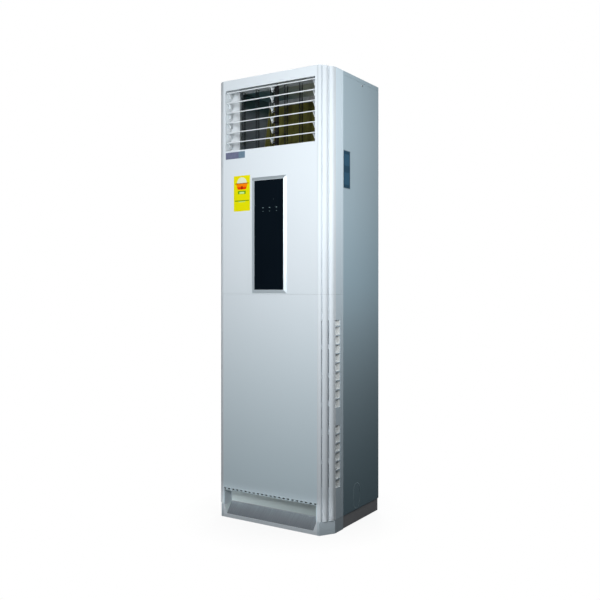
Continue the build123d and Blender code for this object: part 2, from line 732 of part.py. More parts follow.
def side_panel():
    """The right-hand side panel; the left one is its mirror image."""
    z0 = PLINTH_H
    rear = BACK_Y - SHEET
    outer, inner = HALF, HALF - FLANGE
    panel = block(outer - SHEET, outer, SHEET_Y, rear, z0, SHEET_TOP)
    front = block(inner, outer, SHEET_Y, SHEET_Y + SHEET, z0, SHEET_TOP)
    back = block(inner, outer, rear - SHEET, rear, z0, SHEET_TOP)
    foot = block(inner, outer, SHEET_Y, rear, z0, z0 + SHEET)
    y, z = side_screw_place()
    holes = [bar((HALF - 3, y, z), (HALF + 1, y, z), SCREW_HOLE_R)]
    for height in PEG_ZS:
        x = HALF - PEG_IN
        holes.append(bar((x, SHEET_Y - 1, height), (x, SHEET_Y + SHEET + 1, height), PEG_R + LOOSE))
    for height in BACK_SCREW_ZS:
        x = HALF - BACK_SCREW_IN
        holes.append(bar((x, rear - SHEET - 1, height), (x, rear + 1, height), SCREW_HOLE_R))
    return panel + [front, back, foot] - holes - side_knock_out()


def top_cover():
    """Top sheet with its skirts and the two tabs that the side screws hold."""
    cover = block(-HALF, HALF, SHEET_Y, BACK_Y, HEIGHT - SKIRT, HEIGHT)
    inner, y0, y1 = HALF - SHEET, SHEET_Y + SHEET, BACK_Y - SHEET
    cover -= block(-inner, inner, y0, y1, HEIGHT - SKIRT - 1, HEIGHT - SHEET)
    y, z = side_screw_place()
    tab = block(HALF - 2 * SHEET, HALF - SHEET, y - FLANGE, y + FLANGE, z - FLANGE, HEIGHT - SHEET / 2)
    tab -= bar((HALF - 3, y, z), (HALF + 1, y, z), SCREW_HOLE_R)
    return cover + [tab, mirrored(tab)]


def strap_places():
    return [(x, HEIGHT - STRAP_DOWN) for x in (-STRAP_X, STRAP_X)]


def back_knock_out():
    """Slits of the round pipe knock-out in the rear panel."""
    x, z = BACK_KNOCK_X, PLINTH_H + 1.5 * BACK_KNOCK_R
    ring = bar((x, BACK_Y - 3, z), (x, BACK_Y + 1, z), BACK_KNOCK_R)
    ring -= bar((x, BACK_Y - 4, z), (x, BACK_Y + 2, z), BACK_KNOCK_R - KNOCK_SLIT)
    reach, half = 2 * BACK_KNOCK_R, KNOCK_BRIDGE / 2
    upright = block(x - half, x + half, BACK_Y - 5, BACK_Y + 3, z - reach, z + reach)
    level = block(x - reach, x + reach, BACK_Y - 5, BACK_Y + 3, z - half, z + half)
    return ring - [upright, level]


def rear_panel():
    """Back sheet, stiffened by swages pressed inwards."""
    panel = block(-HALF, HALF, BACK_Y - SHEET, BACK_Y, PLINTH_H, SHEET_TOP)
    inner = HALF - 2 * FLANGE
    for z in SWAGE_ZS:
        panel += block(-inner, inner, BACK_Y - SHEET - SWAGE_D, BACK_Y - SHEET / 2, z, z + SWAGE_H)
        half, high = inner - SHEET, z + SWAGE_H - SHEET
        panel -= block(-half, half, BACK_Y - SWAGE_D, BACK_Y + 1, z + SHEET, high)
    holes = []
    for x, z in strap_places():
        holes.append(bar((x, BACK_Y - 3, z), (x, BACK_Y + 1, z), STRAP_HOLE_R))
    for z in BACK_SCREW_ZS:
        for x in (-HALF + BACK_SCREW_IN, HALF - BACK_SCREW_IN):
            holes.append(bar((x, BACK_Y - 3, z), (x, BACK_Y + 1, z), SCREW_HOLE_R))
    return panel - holes - back_knock_out()


def pan_head_screw(place, inward):
    """A screw whose head bears on the face at place."""
    place, inward = Vector(*place), Vector(*inward)
    face = Plane(origin=place, z_dir=-inward)
    head = face * extrude(Circle(HEAD_R), HEAD_H)
    outermost = head.edges().sort_by(lambda edge: (edge.center() - place).dot(-inward))[-1:]
    head = fillet(outermost, HEAD_H * HEAD_ROUND)
    recess = face * Pos(0, 0, HEAD_H) * (Box(CROSS_L, CROSS_W, HEAD_H) + Box(CROSS_W, CROSS_L, HEAD_H))
    shank = Plane(origin=place + inward * (SHANK_L / 2), z_dir=inward) * Cylinder(SCREW_R, SHANK_L)
    return head - recess + shank


def cabinet_screws():
    """Screws of the side and rear panels, as separate solids."""
    y, z = side_screw_place()
    screws = [pan_head_screw((HALF, y, z), (-1, 0, 0)), pan_head_screw((-HALF, y, z), (1, 0, 0))]
    for height in BACK_SCREW_ZS:
        for x in (-HALF + BACK_SCREW_IN, HALF - BACK_SCREW_IN):
            screws.append(pan_head_screw((x, BACK_Y, height), (0, -1, 0)))
    return Compound(children=[screw.solids()[0] for screw in screws])


# ------------------------------------------------------------------ air outlet
def blade_z(number):
    return BLADE_TOP_Z - (number - 1) * BLADE_PITCH


def pivot_z(number):
    return blade_z(number) - PIVOT_DROP


def on_blade(number, distance, height=0.0):
    """A side view point (y, z): distance back along a blade's middle plane, height out of it."""
    y = BLADE_Y0 + distance * TILT_Y - height * TILT_Z
    return y, blade_z(number) + distance * TILT_Z + height * TILT_Y


def vane_x(number):
    return (number - (VANE_COUNT + 1) / 2) * VANE_PITCH


def side_splay():
    """Slanting inner face of the chamber's right-hand wall."""
    front, rear = FRONT_Y + SPLAY_FROM, FRONT_Y + SPLAY_TO
    outer = CHAMBER_HALF + WALL / 2
    section = [(outer, front), (CHAMBER_HALF, front), (CHAMBER_HALF - SPLAY_IN, rear)]
    section += [(CHAMBER_HALF - SPLAY_IN, rear + WALL), (outer, rear + WALL)]
    return prism_z(section, CHAMBER_Z0 - WALL / 2, CHAMBER_Z1 + WALL / 2)


def outlet_frame():
    """White frame behind the outlet opening, with the bearings of blades and vanes."""
    outer = CHAMBER_HALF + WALL
    y0 = FRONT_Y + WALL
    frame = block(-outer, outer, y0, INNER_Y, CHAMBER_Z0 - WALL, CHAMBER_Z1 + WALL)
    edge = outer + CHAMBER_FLANGE
    top = min(CHAMBER_Z1 + WALL + CHAMBER_FLANGE, HEIGHT - WALL)
    frame += block(-edge, edge, y0, y0 + WALL, CHAMBER_Z0 - WALL - CHAMBER_FLANGE, top)
    frame -= block(-CHAMBER_HALF, CHAMBER_HALF, y0 - 1, INNER_Y + 1, CHAMBER_Z0, CHAMBER_Z1)
    splay = side_splay()
    frame += [splay, mirrored(splay)]
    holes = []
    for number in range(1, BLADE_COUNT + 1):
        z = pivot_z(number)
        holes.append(bar((-outer - 1, PIVOT_Y, z), (outer + 1, PIVOT_Y, z), PIN_R + RUNNING))
    low, high = CHAMBER_Z0 - WALL - 1, CHAMBER_Z1 + WALL + 1
    for number in range(1, VANE_COUNT + 1):
        x = vane_x(number)
        holes.append(bar((x, VANE_Y, low), (x, VANE_Y, high), VANE_PIN_R + RUNNING))
    return frame - holes


def lug_section(number):
    """Side view of a blade's lug: wide at the blade, narrow from its shoulder to the pivot."""
    z = pivot_z(number)
    front, rear = on_blade(number, LUG_FROM), on_blade(number, BLADE_DEPTH - LUG_END)
    shoulders = []
    for y, top in (rear, front):
        reach = LUG_SHOULDER * LUG_WAIST * (y - PIVOT_Y)
        shoulders.append((PIVOT_Y + reach, z + LUG_SHOULDER * (top - z)))
    tip = [(PIVOT_Y + LUG_TIP_R, z), (PIVOT_Y - LUG_TIP_R, z)]
    return [front, rear, shoulders[0]] + tip + [shoulders[1]]


def blade_section(number):
    """Side view of a blade: a thin plate with a rounded front edge, thinner to the rear."""
    front, rear = BLADE_THICK / 2, BLADE_REAR_T / 2
    top = [on_blade(number, front, front), on_blade(number, BLADE_DEPTH, rear)]
    bottom = [on_blade(number, BLADE_DEPTH, -rear), on_blade(number, front, -front)]
    nose = ThreePointArc(bottom[1], on_blade(number, 0), top[0])
    return make_face([nose] + Polyline(*top, *bottom).edges())


def louvre_blade(number):
    """One horizontal blade with three lugs, its pivot pins and its link pin."""
    z = pivot_z(number)
    plate = Plane.YZ.offset(-BLADE_HALF) * blade_section(number)
    blade = extrude(plate, 2 * BLADE_HALF, dir=(1, 0, 0))
    half = LUG_THICK / 2
    for x in (LEFT_LUG_X, 0, RIGHT_LUG_X):
        blade += prism_x(lug_section(number), x - half, x + half)
        blade += bar((x - half, PIVOT_Y, z), (x + half, PIVOT_Y, z), LUG_TIP_R)
    pin_end = CHAMBER_HALF + WALL - SEAM
    for start, end in ((LEFT_LUG_X, -pin_end), (RIGHT_LUG_X, pin_end)):
        blade += bar((start, PIVOT_Y, z), (end, PIVOT_Y, z), PIN_R)
    blade += bar((0, PIVOT_Y, z), (half + WALL + 2 * SIDE_PLAY, PIVOT_Y, z), PIN_R)
    start, end = BLADE_DEPTH - LUG_FROM, LINK_BACK
    ear = [on_blade(number, start, EAR_HALF_H / 2), on_blade(number, end, EAR_HALF_H)]
    ear += [on_blade(number, end, -EAR_HALF_H), on_blade(number, start, -EAR_HALF_H / 2)]
    blade += prism_x(ear, LINK_X, LINK_X + LUG_THICK)
    link_y, link_z = on_blade(number, LINK_BACK)
    blade += bar((LINK_X, link_y, link_z), (LINK_X + LUG_THICK, link_y, link_z), EAR_HALF_H)
    pin_end = LINK_X - LINK_T - 2 * SIDE_PLAY
    return blade + bar((pin_end, link_y, link_z), (LINK_X + 1, link_y, link_z), PIN_R)


def louvre_link():
    """The upright rod that makes the six blades turn together."""
    x1 = LINK_X - SIDE_PLAY
    x0 = x1 - LINK_T
    y = PIVOT_Y + LINK_ARM
    half = LINK_W / 2
    zs = [pivot_z(number) + LINK_RISE for number in range(1, BLADE_COUNT + 1)]
    rod = block(x0, x1, y - half, y + half, zs[-1] - half, zs[0] + half)
    first = bar((x0 - 1, y, zs[0]), (x1 + 1, y, zs[0]), PIN_R + RUNNING)
    rest = [bar((x0 - 1, y, z), (x1 + 1, y, z), PIN_R + LOOSE) for z in zs[1:]]
    return rod - first - rest


def louvre_strut():
    """Dark middle strut behind the blades, with an arm that bears each middle lug."""
    y0 = FRONT_Y + STRUT_Y
    strut = block(-STRUT_W / 2, STRUT_W / 2, y0, y0 + STRUT_D, CHAMBER_Z0, CHAMBER_Z1)
    x0 = LUG_THICK / 2 + SIDE_PLAY
    x1 = x0 + WALL
    for number in range(1, BLADE_COUNT + 1):
        z = pivot_z(number)
        arm = block(x0, x1, PIVOT_Y, y0 + 1, z - LUG_TIP_R, z + LUG_TIP_R)
        arm += bar((x0, PIVOT_Y, z), (x1, PIVOT_Y, z), LUG_TIP_R)
        strut += arm - bar((x0 - 1, PIVOT_Y, z), (x1 + 1, PIVOT_Y, z), PIN_R + RUNNING)
    return strut


def swing_vane(number):
    """One upright vane with its two pivot pins and its link pin."""
    x = vane_x(number)
    z0, z1 = CHAMBER_Z0 + VANE_BELOW, CHAMBER_Z1 - VANE_ABOVE
    y0, y1 = VANE_Y - VANE_DEPTH / 2, VANE_Y + VANE_DEPTH / 2
    vane = block(x - VANE_THICK / 2, x + VANE_THICK / 2, y0, y1, z0, z1)
    bottom = CHAMBER_Z0 - WALL + SEAM
    top = CHAMBER_Z1 + WALL - SEAM
    if number == DRIVEN_VANE:
        top = CHAMBER_Z1 + WALL + SWING_SHAFT_IN
    vane += bar((x, VANE_Y, bottom), (x, VANE_Y, z0 + VANE_PIN_IN), VANE_PIN_R)
    vane += bar((x, VANE_Y, z1 - VANE_PIN_IN), (x, VANE_Y, top), VANE_PIN_R)
    link_y = VANE_Y + VANE_LINK_ARM
    return vane + bar((x, link_y, CHAMBER_Z0 + 2), (x, link_y, z0 + VANE_PIN_IN), VANE_PIN_R)


def vane_link():
    """The flat bar that makes the upright vanes swing together."""
    y = VANE_Y + VANE_LINK_ARM
    z0 = CHAMBER_Z0 + 4
    end = vane_x(VANE_COUNT) + LINK_W
    link = block(-end, end, y - LINK_W / 2, y + LINK_W / 2, z0, z0 + LINK_T)
    for number in range(1, VANE_COUNT + 1):
        gap = RUNNING if number == DRIVEN_VANE else LOOSE
        x = vane_x(number)
        link -= bar((x, y, z0 - 1), (x, y, z0 + LINK_T + 1), VANE_PIN_R + gap)
    return link


def swing_motor():
    """Small motor on the frame's roof that turns the driven vane's pin."""
    x = vane_x(DRIVEN_VANE)
    z0 = CHAMBER_Z1 + WALL
    motor = bar((x, VANE_Y, z0), (x, VANE_Y, z0 + SWING_MOTOR_H), SWING_MOTOR_R)
    ears = block(x - 2 * SWING_MOTOR_R, x + 2 * SWING_MOTOR_R, VANE_Y - 4, VANE_Y + 4, z0, z0 + 2)
    bore = bar((x, VANE_Y, z0 - 1), (x, VANE_Y, z0 + SWING_SHAFT_IN + 1), VANE_PIN_R + RUNNING)
    return motor + ears - bore


# ------------------------------------------------------------------ display, badge and stickers
def display_box(inset):
    """Limits in x and z of the display's outline, drawn in by inset."""
    x0, x1 = DISPLAY_X0 + inset, DISPLAY_X0 + DISPLAY_W - inset
    return x0, x1, DISPLAY_Z0 + inset, DISPLAY_Z1 - inset


def display_block(inset, y0, y1):
    """An upright slab of the display's outline, drawn in by inset."""
    x0, x1, z0, z1 = display_box(inset)
    return block(x0, x1, y0, y1, z0, z1)


def display_rect(inset, y):
    x0, x1, z0, z1 = display_box(inset)
    middle = Plane(origin=(DISPLAY_X, y, (z0 + z1) / 2), x_dir=(1, 0, 0), z_dir=(0, -1, 0))
    return middle * Rectangle(x1 - x0, z1 - z0)


def display_frame():
    """Silver frame, bevelled all round, with the shell that holds glass and board."""
    bevel = loft([display_rect(0, FRONT_Y - RIM_T), display_rect(BEVEL, FRONT_Y - DISPLAY_PROUD)], ruled=True)
    shell_y = FRONT_Y + SHELL_DEPTH
    frame = bevel + display_block(0, FRONT_Y - RIM_T, FRONT_Y)
    frame += display_block(SHELL_INSET, FRONT_Y - RIM_T / 2, shell_y)
    glass_y = FRONT_Y - DISPLAY_PROUD + GLASS_SUNK
    glass_in = BEVEL + GLASS_EDGE
    frame -= display_block(glass_in, FRONT_Y - DISPLAY_PROUD - 1, glass_y + GLASS_T)
    frame -= display_block(glass_in + GLASS_SEAT, glass_y, shell_y + 1)
    return frame - display_block(SHELL_INSET + SHELL_WALL, shell_y - SHELL_WALL, shell_y + 1)


def display_glass():
    y = FRONT_Y - DISPLAY_PROUD + GLASS_SUNK
    return display_block(BEVEL + GLASS_EDGE, y, y + GLASS_T)


def display_board():
    """Circuit board behind the glass, with its lamps and its remote receiver."""
    y = FRONT_Y + SHELL_DEPTH - SHELL_WALL
    front = y - LAMP_TALL
    size = RECEIVER_SIZE / 2
    x, z = RECEIVER_X, RECEIVER_Z
    receiver = block(x - size, x + size, front, y, z - size, z + size)
    left = LAMPS_X - LAMPS_W / 2
    lamps = block(left, left + LAMPS_W, front, y, LAMPS_Z, LAMPS_Z + LAMPS_H)
    return display_block(SHELL_INSET + SHELL_WALL, y, y + BOARD_T) + [receiver, lamps]


def badge_plate():
    return block(BADGE_X0, BADGE_X0 + BADGE_W, FRONT_Y - BADGE_T, FRONT_Y, BADGE_Z0, BADGE_Z0 + BADGE_H)


def front_sticker():
    x0, z0 = FRONT_STICKER_X0, FRONT_STICKER_Z0
    return block(x0, x0 + FRONT_STICKER_W, FRONT_Y - STICKER_T, FRONT_Y, z0, z0 + FRONT_STICKER_H)


def side_sticker():
    y0, z0 = FRONT_Y + SIDE_STICKER_Y, SIDE_STICKER_Z0
    return block(HALF, HALF + STICKER_T, y0, y0 + SIDE_STICKER_W, z0, z0 + SIDE_STICKER_H)


# ------------------------------------------------------------------ shelf, coil, duct
def coil_plane():
    """Frame at the coil's foot: X across, Y through its thickness to the back, Z up its length."""
    up = (COIL_HEAD - COIL_FOOT).normalized()
    return Plane(origin=COIL_FOOT, x_dir=(1, 0, 0), z_dir=up)


def coil_block(x0, x1, n0, n1, s0, s1):
    """A box in the coil's own frame."""
    return coil_plane() * block(x0, x1, n0, n1, s0, s1)


def coil_face_y(offset, z):
    """y of the plane parallel to the coil, offset through its thickness, at a height."""
    up = (COIL_HEAD - COIL_FOOT).normalized()
    return COIL_FOOT.Y + (z - COIL_FOOT.Z) * up.Y / up.Z + offset / up.Z


def pipe_route(tap, inset, side=1):
    """Corners of a pipe from the coil's end plate, out sideways and down to its free end."""
    up = (COIL_HEAD - COIL_FOOT).normalized()
    start = COIL_FOOT + up * tap
    x0 = side * (COIL_HALF + COIL_PLATE_T)
    x1 = side * (HALF - inset)
    return [(x0, start.Y, start.Z), (x1, start.Y, start.Z), (x1, start.Y, PIPE_END_Z)]


def tube_along(points, radius, bore):
    """A tube along straight runs joined by an arc."""
    bend = min(2.2 * radius, abs(points[1][0] - points[0][0]) - 0.5)
    path = FilletPolyline(*points, radius=bend)
    start = Plane(origin=points[0], z_dir=Vector(*points[1]) - Vector(*points[0]))
    return sweep(start * (Circle(radius) - Circle(bore)), path=path)


def shelf_holes():
    """Holes of the shelf: blower outlet, both pipes and the drain hose."""
    x0, x1 = outlet_span()
    z0, z1 = SHELF_Z - 1, SHELF_TOP + 1
    holes = [block(x0, x1, SCROLL_Y0 + SCROLL_T, SCROLL_Y1 - SCROLL_T, z0, z1)]
    for route, radius in (
        (pipe_route(GAS_TAP, GAS_IN), GAS_R),
        (pipe_route(LIQUID_TAP, LIQUID_IN), LIQUID_R),
        (drain_route(), DRAIN_R),
    ):
        x, y = route[1][0], route[1][1]
        holes.append(bar((x, y, z0), (x, y, z1), radius + LOOSE))
    return holes


def partition_plate():
    """Steel shelf between blower and coil, flanged down on three sides."""
    half, y1 = HALF - SHEET, BACK_Y - 3 * SHEET
    plate = block(-half, half, INNER_Y, y1, SHELF_Z, SHELF_TOP)
    wide = half - FLANGE
    plate += block(-wide, wide, INNER_Y, INNER_Y + SHELF_T, SHELF_Z - SHELF_FLANGE, SHELF_TOP)
    side = block(half - SHELF_T, half, INNER_Y + FLANGE, y1, SHELF_Z - FLANGE, SHELF_TOP)
    return plate + [side, mirrored(side)] - shelf_holes()


def pan_limits():
    return COIL_HALF + FOAM, INNER_Y, PAN_Y1


def drain_pan():
    half, y0, y1 = pan_limits()
    pan = block(-half, half, y0, y1, SHELF_TOP, PAN_TOP)
    inner, bottom = half - PAN_WALL, SHELF_TOP + PAN_WALL
    pan -= block(-inner, inner, y0 + PAN_WALL, y1 - PAN_WALL, bottom, PAN_TOP + 1)
    x, y, z = drain_route()[0]
    return pan - bar((x - 1, y, z), (x + PAN_WALL + 1, y, z), DRAIN_R - 2)


def drain_route():
    """Corners of the drain hose, from the pan's left wall down to its free end."""
    half, y0, y1 = pan_limits()
    z = SHELF_TOP + PAN_WALL + DRAIN_UP
    y = (y0 + y1) / 2
    x = -HALF + DRAIN_IN - DRAIN_R
    return [(-half, y, z), (x, y, z), (x, y, PIPE_END_Z)]


def evaporator_fins():
    half = COIL_T / 2
    return coil_block(-COIL_HALF, COIL_HALF, -half, half, 0, COIL_LENGTH)


def coil_end_plates():
    """Both end plates of the coil, each with the wing that closes the gap to its side panel."""
    edge = COIL_T / 2 + COIL_PLATE_EDGE
    x0, x1 = COIL_HALF, COIL_HALF + COIL_PLATE_T
    plate = coil_block(x0, x1, -edge, edge, 0, COIL_LENGTH)
    plate += coil_block(x0, HALF - SHEET, edge - COIL_PLATE_T, edge, WING_UP, COIL_LENGTH)
    return Compound(children=[plate.solids()[0], mirrored(plate).solids()[0]])


def coil_baffle():
    """Bent sheet that closes the duct between the coil's head and the ceiling."""
    z1 = HEIGHT - SHEET - TOP_FOAM
    y0 = coil_face_y(-COIL_T / 2, z1) - BAFFLE_GAP
    leaf = block(-COIL_HALF, COIL_HALF, y0, y0 + COIL_PLATE_T, z1 - BAFFLE_H, z1)
    return leaf + block(-COIL_HALF, COIL_HALF, y0, y0 + BAFFLE_TOP, z1 - COIL_PLATE_T, z1)


def return_bends():
    """Copper return bends outside both end plates, as separate solids."""
    bends = []
    count = int((COIL_LENGTH - 2 * BEND_PITCH) / BEND_PITCH)
    x = COIL_HALF + COIL_PLATE_T
    for side in (-1, 1):
        for row in range(BEND_ROWS):
            n = (row - (BEND_ROWS - 1) / 2) * COIL_T / 2
            for index in range(count):
                s = (index + 2.4 + 0.25 * row) * BEND_PITCH
                if s + BEND_R + TUBE_R > COIL_LENGTH:
                    continue
                ring = Pos(side * x, n, s) * Rot(90, 0, 0) * Torus(BEND_R, TUBE_R)
                reach = BEND_R + 2 * TUBE_R
                keep = Pos(side * (x + reach / 2), n, s) * Box(reach, 3 * TUBE_R, 2 * reach)
                bends.append((coil_plane() * (ring & keep)).solids()[0])
    return Compound(children=bends)


def side_duct_wall():
    """Right-hand foam wall of the air duct, from the outlet frame back to the coil."""
    front = -COIL_T / 2 - COIL_PLATE_EDGE - SEAM
    z0, z1 = PAN_TOP, HEIGHT - SHEET - TOP_FOAM
    points = [(INNER_Y, z0), (coil_face_y(front, z0), z0), (coil_face_y(front, z1), z1), (INNER_Y, z1)]
    return prism_x(points, COIL_HALF, COIL_HALF + FOAM)


def front_duct_wall():
    """Foam wall in front of the coil, below the outlet frame."""
    top = CHAMBER_Z0 - WALL
    half = COIL_HALF + FOAM
    return block(-half, half, INNER_Y - FOAM, INNER_Y, SHELF_TOP, top)


def top_insulation():
    half = HALF - FLANGE
    y0, y1 = SHEET_Y + SHEET, BACK_Y - SHEET
    return block(-half, half, y0, y1, HEIGHT - SHEET - TOP_FOAM, HEIGHT - SHEET)


def rear_insulation():
    y1 = BACK_Y - SHEET - SWAGE_D
    half = HALF - FLANGE - 2
    z0, z1 = SHELF_TOP, HEIGHT - SHEET - TOP_FOAM
    return block(-half, half, y1 - BACK_FOAM, y1, z0, z1)


def gas_pipe():
    return tube_along(pipe_route(GAS_TAP, GAS_IN), GAS_R, GAS_R - 1)


def liquid_pipe():
    return tube_along(pipe_route(LIQUID_TAP, LIQUID_IN), LIQUID_R, LIQUID_R - 1)


def drain_hose():
    return tube_along(drain_route(), DRAIN_R, DRAIN_R - 2)


# ------------------------------------------------------------------ blower
def on_blower(y0, y1, radius):
    """A round bar on the blower's axis."""
    return bar((BLOWER_X, y0, BLOWER_Z), (BLOWER_X, y1, BLOWER_Z), radius)


def outlet_span():
    """Left and right inner walls of the blower's outlet."""
    return BLOWER_X, BLOWER_X + SCROLL_R + 3 * SCROLL_GROWTH


def scroll_solid(extra, y0, y1, top):
    """The space inside the scroll and its outlet duct, with its outline grown by extra."""
    x0, x1 = outlet_span()
    radius = SCROLL_R + extra
    lead = math.degrees(math.asin(extra / radius))
    edges = [CenterArc((BLOWER_X, BLOWER_Z), radius, 90 + lead, 90 - lead)]
    centre_x, centre_z = BLOWER_X + SCROLL_GROWTH, BLOWER_Z
    radius += SCROLL_GROWTH
    edges.append(CenterArc((centre_x, centre_z), radius, 180, 90))
    centre_z += SCROLL_GROWTH
    radius += SCROLL_GROWTH
    edges.append(CenterArc((centre_x, centre_z), radius, 270, 90))
    corners = [edges[-1] @ 1, (x1 + extra, top), (x0 - extra, top), edges[0] @ 0]
    edges += Polyline(*corners).edges()
    return extrude(Plane.XZ.offset(-y0) * make_face(edges), y1 - y0, dir=(0, 1, 0))


def blower_housing():
    """Scroll housing with its round inlet in front and its outlet under the shelf."""
    case = scroll_solid(SCROLL_T, SCROLL_Y0, SCROLL_Y1, SHELF_Z)
    case -= scroll_solid(0, SCROLL_Y0 + SCROLL_T, SCROLL_Y1 - SCROLL_T, SHELF_Z + 1)
    inlet = on_blower(SCROLL_Y0 - 1, SCROLL_Y0 + SCROLL_T + 1, INLET_R + HOUSING_INLET_GAP)
    return case - inlet - on_blower(SCROLL_Y1 - SCROLL_T - 1, SCROLL_Y1 + 1, HUB_R)


def inlet_ring():
    """Flared ring in front of the housing's inlet."""
    y0 = SCROLL_Y0
    mouth, front = INLET_R + INLET_MOUTH, y0 - INLET_SHEET
    neck = y0 + WHEEL_GAP
    rim = INLET_R + INLET_FLANGE_W
    profile = [
        (INLET_R - INLET_SHEET, neck), (INLET_R, neck),
        (INLET_R, y0 + INLET_SHEET / 2), (INLET_R + INLET_SHEET, y0),
        (rim, y0), (rim, front),
        (mouth, front), (INLET_R - INLET_SHEET / 2, y0),
    ]
    section = make_face(Polyline(*profile, close=True))
    return Pos(BLOWER_X, 0, BLOWER_Z) * revolve(section, Axis.Y)


def wheel_blade():
    """Plan of one forward curved blade, in the wheel's own plane."""
    outer = WHEEL_R - SEAM
    inner = outer - WHEEL_BLADE_DEPTH
    points = []
    for radius, share in ((inner, 0), ((inner + outer) / 2, 0.25), (outer, 1)):
        angle = math.radians(WHEEL_BLADE_LEAN * share)
        points.append((radius * math.cos(angle), radius * math.sin(angle)))
    face = ThreePointArc(*points)
    back = ThreePointArc(*[(x + WHEEL_BLADE_BOW, y - WHEEL_BLADE_T) for x, y in points])
    return make_face([face, back, Line(face @ 0, back @ 0), Line(face @ 1, back @ 1)])


def fan_wheel():
    """Squirrel cage wheel: ring, blades, back disc and hub."""
    y0, y1 = WHEEL_Y0, WHEEL_Y1
    thick = WHEEL_DISC_T
    wheel = on_blower(y1 - thick, y1, WHEEL_R)
    wheel += on_blower(y0, y0 + thick, WHEEL_R) - on_blower(y0 - 1, y0 + thick + 1, INLET_R + WALL)
    wheel += on_blower(y1 - HUB_L, y1, HUB_R)
    blade = extrude(Plane.XZ.offset(-(y0 + thick / 2)) * wheel_blade(), y1 - y0 - thick, dir=(0, 1, 0))
    centre = Pos(BLOWER_X, 0, BLOWER_Z)
    wheel += [centre * Rot(0, 360 * index / WHEEL_BLADES, 0) * blade for index in range(WHEEL_BLADES)]
    return wheel - on_blower(y1 - HUB_L - 1, y1 + 1, SHAFT_R)


def fan_shaft():
    return on_blower(WHEEL_Y1 - HUB_L - SHAFT_AHEAD, MOTOR_Y0 + SHAFT_IN_MOTOR, SHAFT_R)


def fan_motor():
    """Motor behind the housing: a grooved drum, a narrow rear end and a bore for the shaft."""
    y0, y1 = MOTOR_Y0, MOTOR_Y0 + MOTOR_L
    motor = on_blower(y0, y1 - BELL_L, MOTOR_R) + on_blower(y1 - BELL_L - 1, y1, BELL_R)
    groove = y0 + MOTOR_GROOVE_AT
    cut = on_blower(groove, groove + MOTOR_GROOVE_W, MOTOR_R + 1)
    motor -= cut - on_blower(groove - 1, groove + MOTOR_GROOVE_W + 1, MOTOR_R - 2)
    return motor - on_blower(y0 - 1, y0 + SHAFT_IN_MOTOR + BORE_DEEPER, SHAFT_R + RUNNING)


def motor_bracket():
    """Square plate between the motor and the housing."""
    half = BRACKET / 2
    x, z = BLOWER_X, BLOWER_Z
    plate = block(x - half, x + half, SCROLL_Y1, MOTOR_Y0, z - half, z + half)
    return plate - on_blower(SCROLL_Y1 - 1, MOTOR_Y0 + 1, HUB_R)


# ------------------------------------------------------------------ filter
def air_filter():
    """Right-hand filter: a frame with cross bars and its net."""
    middle = HALF - FILTER_IN
    x0, x1 = middle - FILTER_T / 2, middle + FILTER_T / 2
    y0, y1 = FRONT_Y + FILTER_Y0, COLUMN_Y - WALL - LOOSE
    z0, z1 = FILTER_Z0 + SEAM / 2, FILTER_Z1
    frame = block(x0, x1, y0, y1, z0, z1)
    frame -= block(x0 - 1, x1 + 1, y0 + FILTER_BAR, y1 - FILTER_BAR, z0 + FILTER_BAR, z1 - FILTER_BAR)
    bars = 6
    for index in range(1, bars):
        z = z0 + (z1 - z0) * index / bars
        frame += block(x0 + 1, x1 - 1, y0 + 1, y1 - 1, z - 1.5, z + 1.5)
    return frame + block(middle - NET_T / 2, middle + NET_T / 2, y0 + 1, y1 - 1, z0 + 1, z1 - 1)


# ------------------------------------------------------------------ control box
def control_box():
    """Sheet steel box under the shelf's front flange, open to the front."""
    half = BOX_HALF
    box = block(-half, half, BOX_Y0, INNER_Y, BOX_Z0, BOX_Z1)
    inner = half - SHEET
    return box - block(-inner, inner, BOX_Y0 - 1, INNER_Y - SHEET, BOX_Z0 + SHEET, BOX_Z1 - SHEET)


def control_box_cover():
    half = BOX_HALF
    return block(-half, half, BOX_Y0 - SHEET, BOX_Y0, BOX_Z0, BOX_Z1)


def control_board():
    """Power board on stand-offs at the box's rear wall, with a transformer and its relays."""
    wall = INNER_Y - SHEET
    back = wall - STANDOFF_L
    front = back - BOARD_T
    x0, z0 = -BOX_HALF + BOX_MARGIN, BOX_Z0 + BOX_MARGIN
    x1, z1 = x0 + POWER_BOARD_W, BOX_Z1 - BOX_MARGIN
    board = block(x0, x1, front, back, z0, z1)
    inset = 2 * STANDOFF_R
    for x in (x0 + inset, x1 - inset):
        for z in (z0 + inset, z1 - inset):
            board += bar((x, front + BOARD_T / 2, z), (x, wall, z), STANDOFF_R)
    low = z0 + BOX_MARGIN
    board += block(x0 + COIL_BOX, x0 + 2 * COIL_BOX, front - COIL_BOX, back, low, low + COIL_BOX)
    for index in range(RELAYS):
        x = x0 + 3 * COIL_BOX + 1.5 * index * RELAY
        board += block(x, x + RELAY, front - RELAY, back, low, low + RELAY)
    return board


def terminal_block():
    """Block of screw terminals, open to the front."""
    y1 = INNER_Y - SHEET
    y0 = y1 - TERMINAL_H
    x0, z0 = BOX_HALF - BOX_MARGIN - TERMINAL_PITCH * TERMINALS, BOX_Z0 + BOX_MARGIN
    base = block(x0, x0 + TERMINAL_PITCH * TERMINALS, y0, y1, z0, z0 + TERMINAL_H)
    edge = TERMINAL_PITCH / 7
    low, high = z0 + 2 * edge, z0 + TERMINAL_H - 2 * edge
    for index in range(TERMINALS):
        left, right = x0 + index * TERMINAL_PITCH + edge, x0 + (index + 1) * TERMINAL_PITCH - edge
        base -= block(left, right, y0 - 1, y0 + TERMINAL_H / 2, low, high)
    return base


